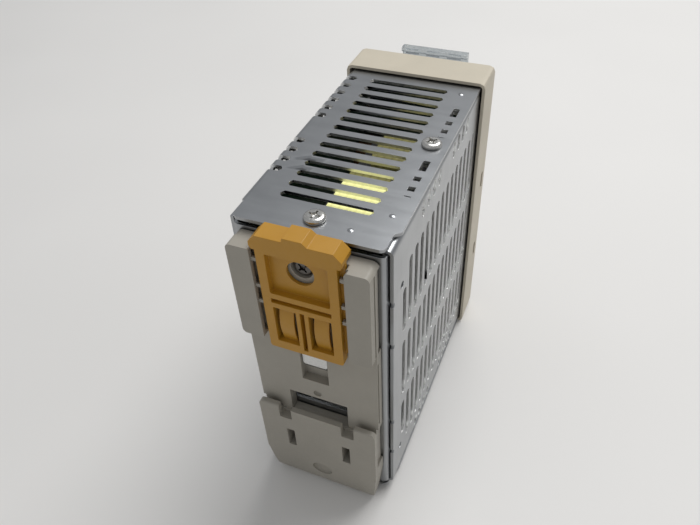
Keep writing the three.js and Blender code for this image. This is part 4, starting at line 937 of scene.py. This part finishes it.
def slider_tools():
    """What is cut from the slider: two windows, two grooves, the pocket and the screw hole"""
    past, through = SLIDER_FACE - OVERRUN, SLIDER_DEEP + OVERRUN
    tools = [side_block(side, *SLIDER_WINDOW, past, through, above_foot(3.3, 16.9)) for side in (-1, 1)]
    pocket = rounded(-POCKET_HALF, POCKET_HALF, *above_foot(22.4, 36.4), POCKET_CORNER, 3)
    hole = circle(0.0, *above_foot(30.5), SCREW_WINDOW, 40)
    return tools + [middle_block(CROSS_HALF, past, SLIDER_FACE + CROSS_DEPTH, above_foot(18.8, 20.4)),
                    prism(pocket, "Y", past, SLIDER_FACE + POCKET_DEPTH),
                    middle_block(RIB_SLOT_HALF, past, SLIDER_FACE + RIB_SLOT_DEPTH, above_foot(1.7, 17.2)),
                    prism(hole, "Y", past, through)]


def rail_slider(base, mustard):
    plate = rounded(-SLIDER_HALF, SLIDER_HALF, SLIDER_FOOT, CAP_FOOT + OVERRUN, (*mm(0.8, 0.8), 0, 0), 4)
    piece = solid("rail_slider_moulding", prism(plate, "Y", SLIDER_FACE, SLIDER_DEEP), mustard)
    wings = middle_block(SLIDER_HALF + 1.5 * MM, SLIDER_DEEP - WING, SLIDER_DEEP,
                         (BLOCK_BOTTOM + OVERRUN, CAP_FOOT + OVERRUN))
    weld(piece, wings, prism(cap_outline(), "Y", SLIDER_FACE, SLIDER_FACE + CAP_DEPTH))
    carve(piece, *slider_tools())
    weld(piece, leaf_strip(-1), leaf_strip(1))
    soften(piece, base.slider_edge, 3, 30.0, panels=True)
    return finish_piece(piece, "mustard_plastic", "rail_slider", body="slider")


def detent_tongue():
    """The bright tongue across the window, with rounded lower corners"""
    low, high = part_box("detent_tongue")
    outline = rounded(low.x, high.x, low.z, high.z, (*mm(1.0, 1.0), 0, 0), 5)
    metal = bright_metal("Tongue Steel", (0.86, 0.86, 0.84), 0.32)
    piece = solid("detent_tongue_blade", prism(outline, "Y", low.y, low.y + SHEET), metal)
    weld(piece, block((low.x, low.y, high.z - SHEET), (high.x, high.y, high.z)))
    soften(piece, 0.15 * MM, 2)
    return finish_piece(piece, "nickel", "detent_tongue")


class BaseOperator(bpy.types.Operator):
    """Makes the moulded rail base, the slider and the tongue in the base's window"""
    bl_idname = "psu.base"
    bl_label = "Rail Base"

    def execute(self, context):
        base = context.scene.psu_base
        rear_base(base, moulded("Warm Grey Plastic", base.grey, 0.5))
        rail_slider(base, moulded("Mustard Plastic", base.mustard, 0.4, mottling=0.05))
        detent_tongue()
        return {"FINISHED"}


# ---- screws

DOME_STEPS = 6
FACING_UP = (0.0, 0.0, 0.0)
FACING_DOWN = (math.pi, 0.0, 0.0)
FACING_RAIL = (math.pi / 2, 0.0, 0.0)
FACING_FRONT = (-math.pi / 2, 0.0, 0.0)
FACING_RIGHT = (0.0, math.pi / 2, 0.0)


def cross_screw(name, head, height, shank, length, metal):
    """A pan-head screw with a crosshead recess, its head's underside at the origin and its axis up"""
    angles = [math.pi / 2 * index / DOME_STEPS for index in range(DOME_STEPS + 1)]
    dome = [(head * (0.62 + 0.38 * math.cos(angle)), height * (0.35 + 0.65 * math.sin(angle)))
            for angle in angles]
    profile = [(0.0, -length), (shank * 0.8, -length), (shank, -length + 0.4 * MM), (shank, 0.0),
               (head * 0.97, 0.0), (head, height * 0.12), *dome, (0.0, height)]
    piece = solid(name, turned(profile, (0.0, 0.0), "Z", 40), metal)
    arm, half, above = head * 0.56, head * 0.1, height * 1.2
    quarter = [(half, arm), (half, half), (arm, half)]
    recess = quarter + [(x, -y) for x, y in reversed(quarter)]
    recess += [(-x, y) for x, y in reversed(recess)]
    funnel = [(0.0, height * 0.2), (head * 0.24, height * 0.55), (head * 0.3, above), (0.0, above)]
    return carve(piece, prism(recess, "Z", height * 0.45, above), turned(funnel, (0.0, 0.0), "Z", 16))


def slot_screw(name, head, height, shank, length, metal):
    """A cheese-head terminal screw with a slot"""
    profile = [(0.0, -length), (shank, -length), (shank, 0.0), (head, 0.0), (head, height - 0.2 * MM),
               (head - 0.2 * MM, height), (0.0, height)]
    piece = solid(name, turned(profile, (0.0, 0.0), "Z", 32), metal)
    half = head * 0.14
    return carve(piece, block((-head * 1.1, -half, height * 0.45), (head * 1.1, half, height * 1.2)))


def head_places(names, axis, at_end, height):
    """The seat of each screw head: its middle, and the level where the head begins"""
    places = []
    for name in names:
        low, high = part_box(name)
        middle = (low + high) / 2
        middle[axis] = high[axis] - height if at_end else low[axis] + height
        places.append(middle)
    return places


def place_screws(name, form, sizes, nodes, axis, at_end, turn, metal, tree):
    """One mesh with a screw at each node; sizes are the head, its height, the shank and its length"""
    sizes = mm(*sizes)
    fastener = form(f"{name}_form", *sizes, metal)
    mesh = bpy.data.meshes.new(name)
    mesh.from_pydata([tuple(place) for place in head_places(nodes, axis, at_end, sizes[1])], [], [])
    piece = body_object(name, mesh, metal)
    grow(piece, tree, Fastener=fastener, Turn=turn, Twist=math.pi, Metal=metal)
    bpy.data.objects.remove(fastener)
    soften(piece, 0.0)
    return finish_piece(piece, "nickel", *nodes)


class ScrewsOperator(bpy.types.Operator):
    """Puts the screws of the case, the base, the board and the terminals in their places"""
    bl_idname = "psu.screws"
    bl_label = "Screws"

    def execute(self, context):
        metal = bright_metal("Nickel Plate", (0.66, 0.65, 0.62), 0.16)
        # painted shade: a dark copy of the nickel plate for the base screw, which sits in shade deep in its
        # hole
        shaded = bright_metal("Plate Painted Dark For Shade", (0.16, 0.15, 0.14), 0.3)
        top, bottom = ([f"case_screw_{end}_{name}" for name in ("side", "back")] for end in ("top", "bottom"))
        board = [f"board_screw_{number}" for number in range(1, 5)]
        poles = [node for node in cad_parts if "_terminal_screw_" in node]
        case = (3.1, 1.4, 1.3, 6.0)
        screws = (
            ("case_screws_top", cross_screw, case, top, 2, True, FACING_UP, metal),
            ("case_screws_bottom", cross_screw, case, bottom, 2, False, FACING_DOWN, metal),
            # the base screw takes the plate painted dark for shade
            ("base_screw_head", cross_screw, (2.9, 1.6, 1.4, 6.0), ["base_screw"], 1, False, FACING_RAIL,
             shaded),
            ("board_screws", cross_screw, (2.8, 1.6, 1.3, 3.4), board, 0, True, FACING_RIGHT, metal),
            ("terminal_screws", slot_screw, (2.2, 2.0, 1.5, 2.5), poles, 1, True, FACING_FRONT, metal),
        )
        tree = fastener_tree()
        for screw in screws:
            place_screws(*screw, tree)
        return {"FINISHED"}


# ---- front and terminals

class FrontOperator(bpy.types.Operator):
    """Makes the moulded front with its label, light pipe and voltage trimmer"""
    bl_idname = "psu.front"
    bl_label = "Front"

    def execute(self, context):
        front = context.scene.psu_front
        beige = moulded("Beige Plastic", front.beige)
        refined("front_bezel", "beige_plastic", beige, front.edge, 3, panels=True)
        label = moulded("Label Film", front.label, 0.35, 0.008 * MM, 0.02)
        refined("front_label", "label_film", label, 0.08 * MM)
        lens = clear_sheet("Green Lens", (0.25, 0.7, 0.3))
        refined("signal_light_pipe", "green_lens", lens, 0.15 * MM)
        holder = moulded("Trimmer Blue", (0.03, 0.09, 0.3), 0.45)
        refined("voltage_trimmer_body", "blue_plastic", holder, 0.2 * MM)
        rotor = moulded("Trimmer White", (0.7, 0.69, 0.62), 0.4)
        refined("voltage_trimmer_rotor", "white_plastic", rotor, 0.12 * MM, body="trimmer")
        return {"FINISHED"}


class TerminalOperator(bpy.types.Operator):
    """Makes the two terminal blocks, their clamp cages and the two hinged covers"""
    bl_idname = "psu.terminals"
    bl_label = "Terminals"

    def execute(self, context):
        front = context.scene.psu_front
        dark = moulded("Terminal Plastic", front.block)
        metal = bright_metal("Clamp Plate", (0.6, 0.59, 0.55), 0.3)
        clear = clear_sheet("Clear Cover")
        for unit in ("input", "output"):
            refined(f"{unit}_terminal_block", "dark_plastic", dark, 0.25 * MM)
            refined(f"{unit}_terminal_cover", "clear_plastic", clear, 0.25 * MM, body=f"{unit}_cover")
        for node in [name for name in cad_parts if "_clamp_" in name]:
            refined(node, "nickel", metal, 0.1 * MM)
        return {"FINISHED"}


# ---- inside

INSIDE_ROUNDING = 0.3 * MM
TAPE_LEFT, TAPE_RIGHT = mm(-1.5, 11.9)
TAPE_REAR, TAPE_FRONT = mm(-2.0, 10.6)
TAPE_UNDER, TAPE_OVER = mm(0.3, 0.9)
TAPE_ROUNDING = 0.3 * MM


def outer_tape(tape):
    """The last turns of tape over the rear half of the transformer's winding, painted bright and given a glow
    as painted light from the slots
    """
    low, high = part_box("transformer_winding")
    strip = rounded(TAPE_LEFT, TAPE_RIGHT, high.z - TAPE_UNDER, high.z + TAPE_OVER,
                    (0, 0, TAPE_ROUNDING, TAPE_ROUNDING), 3)
    build = prism(strip, "Y", low.y + TAPE_REAR, low.y + TAPE_FRONT)
    piece = solid("transformer_outer_tape", build, tape)
    soften(piece, 0.1 * MM, 2)
    return finish_piece(piece, "yellow_tape")


class InsideOperator(bpy.types.Operator):
    """Makes the boards and the parts that show through the slots"""
    bl_idname = "psu.inside"
    bl_label = "Inside Parts"

    def execute(self, context):
        inside = context.scene.psu_inside
        # painted shade in part: the board is darker than its mask, standing in for the shade inside the case
        board = circuit_board("Circuit Board", inside.board)
        # painted light: the outer tape is painted bright and glows (0.35), standing in for light falling on
        # it through the slots
        outer_tape(wound_tape("Outer Tape Painted Lit", inside.tape, 0.35))
        # painted shade: the windings get the olive copy of the tape, standing in for shade under the slotted
        # sheet
        painted_shade_tape = wound_tape("Tape Painted Olive For Shade", inside.painted_shade_tape_colour)
        core = moulded("Ferrite", (0.035, 0.035, 0.038), 0.6)
        sleeve = moulded("Capacitor Sleeve", (0.02, 0.025, 0.05), 0.3)
        white = moulded("Insulating Sheet", (0.66, 0.64, 0.56))
        epoxy = moulded("Black Epoxy", (0.02, 0.02, 0.022), 0.55)
        bare = plated("Plain Aluminium", (0.62, 0.63, 0.64), 0.38)
        brass = bright_metal("Standoff Plate", (0.62, 0.6, 0.55), 0.3)
        finishes = {
            "board_green": (board, ("main_board", "front_board")),
            "yellow_tape": (painted_shade_tape, ("transformer_winding", "filter_choke_winding")),
            "ferrite": (core, ("transformer_core", "filter_choke_core")),
            "dark_sleeve": (sleeve, ("bulk_capacitor", "output_capacitor_1", "output_capacitor_2")),
            "white_plastic": (white, ("insulation_sheet",)),
            "black_epoxy": (epoxy, ("switching_transistor", "bridge_rectifier", "output_rectifier")),
            "aluminium": (bare, ("input_heat_sink", "output_heat_sink")),
            "nickel": (brass, tuple(f"board_standoff_{number}" for number in range(1, 5))),
            "film_plastic": (moulded("Film Case", (0.6, 0.42, 0.05), 0.4), ("film_capacitor",)),
            "ceramic": (moulded("Fuse Ceramic", (0.7, 0.64, 0.52), 0.3), ("fuse",)),
            "copper_wire": (enamelled("Enamelled Wire", (0.22, 0.11, 0.05)), ("mains_choke",)),
        }
        for slot, (material, nodes) in finishes.items():
            thin = slot in ("board_green", "white_plastic")
            for node in nodes:
                refined(node, slot, material, 0.0 if thin else INSIDE_ROUNDING)
        return {"FINISHED"}


# ---- stage

CAMERA_X, CAMERA_BEHIND_BEZEL, CAMERA_Z = mm(64.82, -202.71, 221.82)
CAMERA_AZIMUTH = math.radians(24.62)
CAMERA_ELEVATION = math.radians(42.28)
CAMERA_ROLL = math.radians(-3.29)
CAMERA_LENS = 34.305
SENSOR = 36.0
FLOOR_REACH = 3.0
FLOOR_DEPTH = 0.02
NEAREST = 0.01
ROOM_TINT = (0.95, 0.97, 1.0, 1.0)
KEY_PLACE, KEY_WIDTH = (0.18, 0.5, 1.0), 0.8
FILL_PLACE, FILL_WIDTH = (-0.5, -0.7, 0.5), 0.9
SIDE_PLACE, SIDE_WIDTH = (0.9, -0.1, 0.35), 0.6
SIDE_SHARE = 0.8


def view_axes(azimuth, elevation, roll):
    """The camera's right, up and back directions, as the columns of a matrix"""
    back = Vector((math.sin(azimuth) * math.cos(elevation), -math.cos(azimuth) * math.cos(elevation),
                   math.sin(elevation)))
    right = Vector((0.0, 0.0, 1.0)).cross(back).normalized()
    upward = back.cross(right)
    leaned_right = right * math.cos(roll) + upward * math.sin(roll)
    leaned_up = upward * math.cos(roll) - right * math.sin(roll)
    return Matrix((leaned_right, leaned_up, back)).transposed().to_4x4()


def area_light(name, place, aim, width, strength):
    light = bpy.data.lights.new(name, "AREA")
    light.shape = "DISK"
    light.size = width
    light.energy = strength
    lamp = bpy.data.objects.new(name, light)
    lamp.location = place
    lamp.rotation_euler = (Vector(place) - Vector(aim)).to_track_quat("Z", "Y").to_euler()
    bpy.context.scene.collection.objects.link(lamp)


class StageOperator(bpy.types.Operator):
    """Sets the plain floor, the soft lights and the camera"""
    bl_idname = "psu.stage"
    bl_label = "Stage"

    def execute(self, context):
        stage = context.scene.psu_stage
        slab = block((-FLOOR_REACH, -FLOOR_REACH, -FLOOR_DEPTH), (FLOOR_REACH, FLOOR_REACH, 0.0))
        solid("floor", slab, plain_floor("Pale Floor", stage.floor))
        middle = (0.0, 0.0, CASE_HIGH.z / 2)
        area_light("key_light", KEY_PLACE, middle, KEY_WIDTH, stage.key)
        area_light("fill_light", FILL_PLACE, middle, FILL_WIDTH, stage.fill)
        area_light("side_light", SIDE_PLACE, middle, SIDE_WIDTH, stage.fill * SIDE_SHARE)
        world = bpy.data.worlds.new("Room")
        world.use_nodes = True
        background = world.node_tree.nodes["Background"]
        background.inputs["Color"].default_value = ROOM_TINT
        background.inputs["Strength"].default_value = stage.world
        context.scene.world = world
        data = bpy.data.cameras.new("camera")
        data.lens = CAMERA_LENS
        data.sensor_width = SENSOR
        data.clip_start = NEAREST
        camera = bpy.data.objects.new("camera", data)
        place = Matrix.Translation((CAMERA_X, CAMERA_BEHIND_BEZEL + BEZEL_BACK, CAMERA_Z))
        camera.matrix_world = place @ view_axes(CAMERA_AZIMUTH, CAMERA_ELEVATION, CAMERA_ROLL)
        context.scene.collection.objects.link(camera)
        context.scene.camera = camera
        context.scene.view_settings.view_transform = "Standard"
        return {"FINISHED"}


# ---- panel and registration

class PowerSupplyPanel(bpy.types.Panel):
    """Lists the pieces and their settings"""
    bl_idname = "VIEW3D_PT_power_supply"
    bl_label = "Power Supply"
    bl_space_type = "VIEW_3D"
    bl_region_type = "UI"
    bl_category = "Power Supply"

    def draw(self, context):
        for title, settings, operators in SECTIONS:
            column = self.layout.box().column()
            column.label(text=title)
            group = getattr(context.scene, settings)
            for name in group.__annotations__:
                column.prop(group, name)
            for operator in operators:
                column.operator(operator.bl_idname)


SETTINGS = {"psu_case": CaseSettings, "psu_base": BaseSettings, "psu_front": FrontSettings,
            "psu_inside": InsideSettings, "psu_stage": StageSettings}
SECTIONS = (
    ("Case", "psu_case", (CaseOperator, ScrewsOperator)),
    ("Rail base", "psu_base", (BaseOperator,)),
    ("Front", "psu_front", (FrontOperator, TerminalOperator)),
    ("Inside", "psu_inside", (InsideOperator,)),
    ("Stage", "psu_stage", (StageOperator,)),
)
OPERATORS = tuple(operator for section in SECTIONS for operator in section[2])


def register():
    for kind in (*SETTINGS.values(), *OPERATORS, PowerSupplyPanel):
        bpy.utils.register_class(kind)
    for name, kind in SETTINGS.items():
        setattr(bpy.types.Scene, name, bpy.props.PointerProperty(type=kind))


def unregister():
    for name in SETTINGS:
        delattr(bpy.types.Scene, name)
    for kind in (PowerSupplyPanel, *reversed(OPERATORS), *reversed(tuple(SETTINGS.values()))):
        bpy.utils.unregister_class(kind)


def main():
    register()
    for operator in OPERATORS:
        family, action = operator.bl_idname.split(".")
        getattr(getattr(bpy.ops, family), action)()


if __name__ == "__main__":
    main()
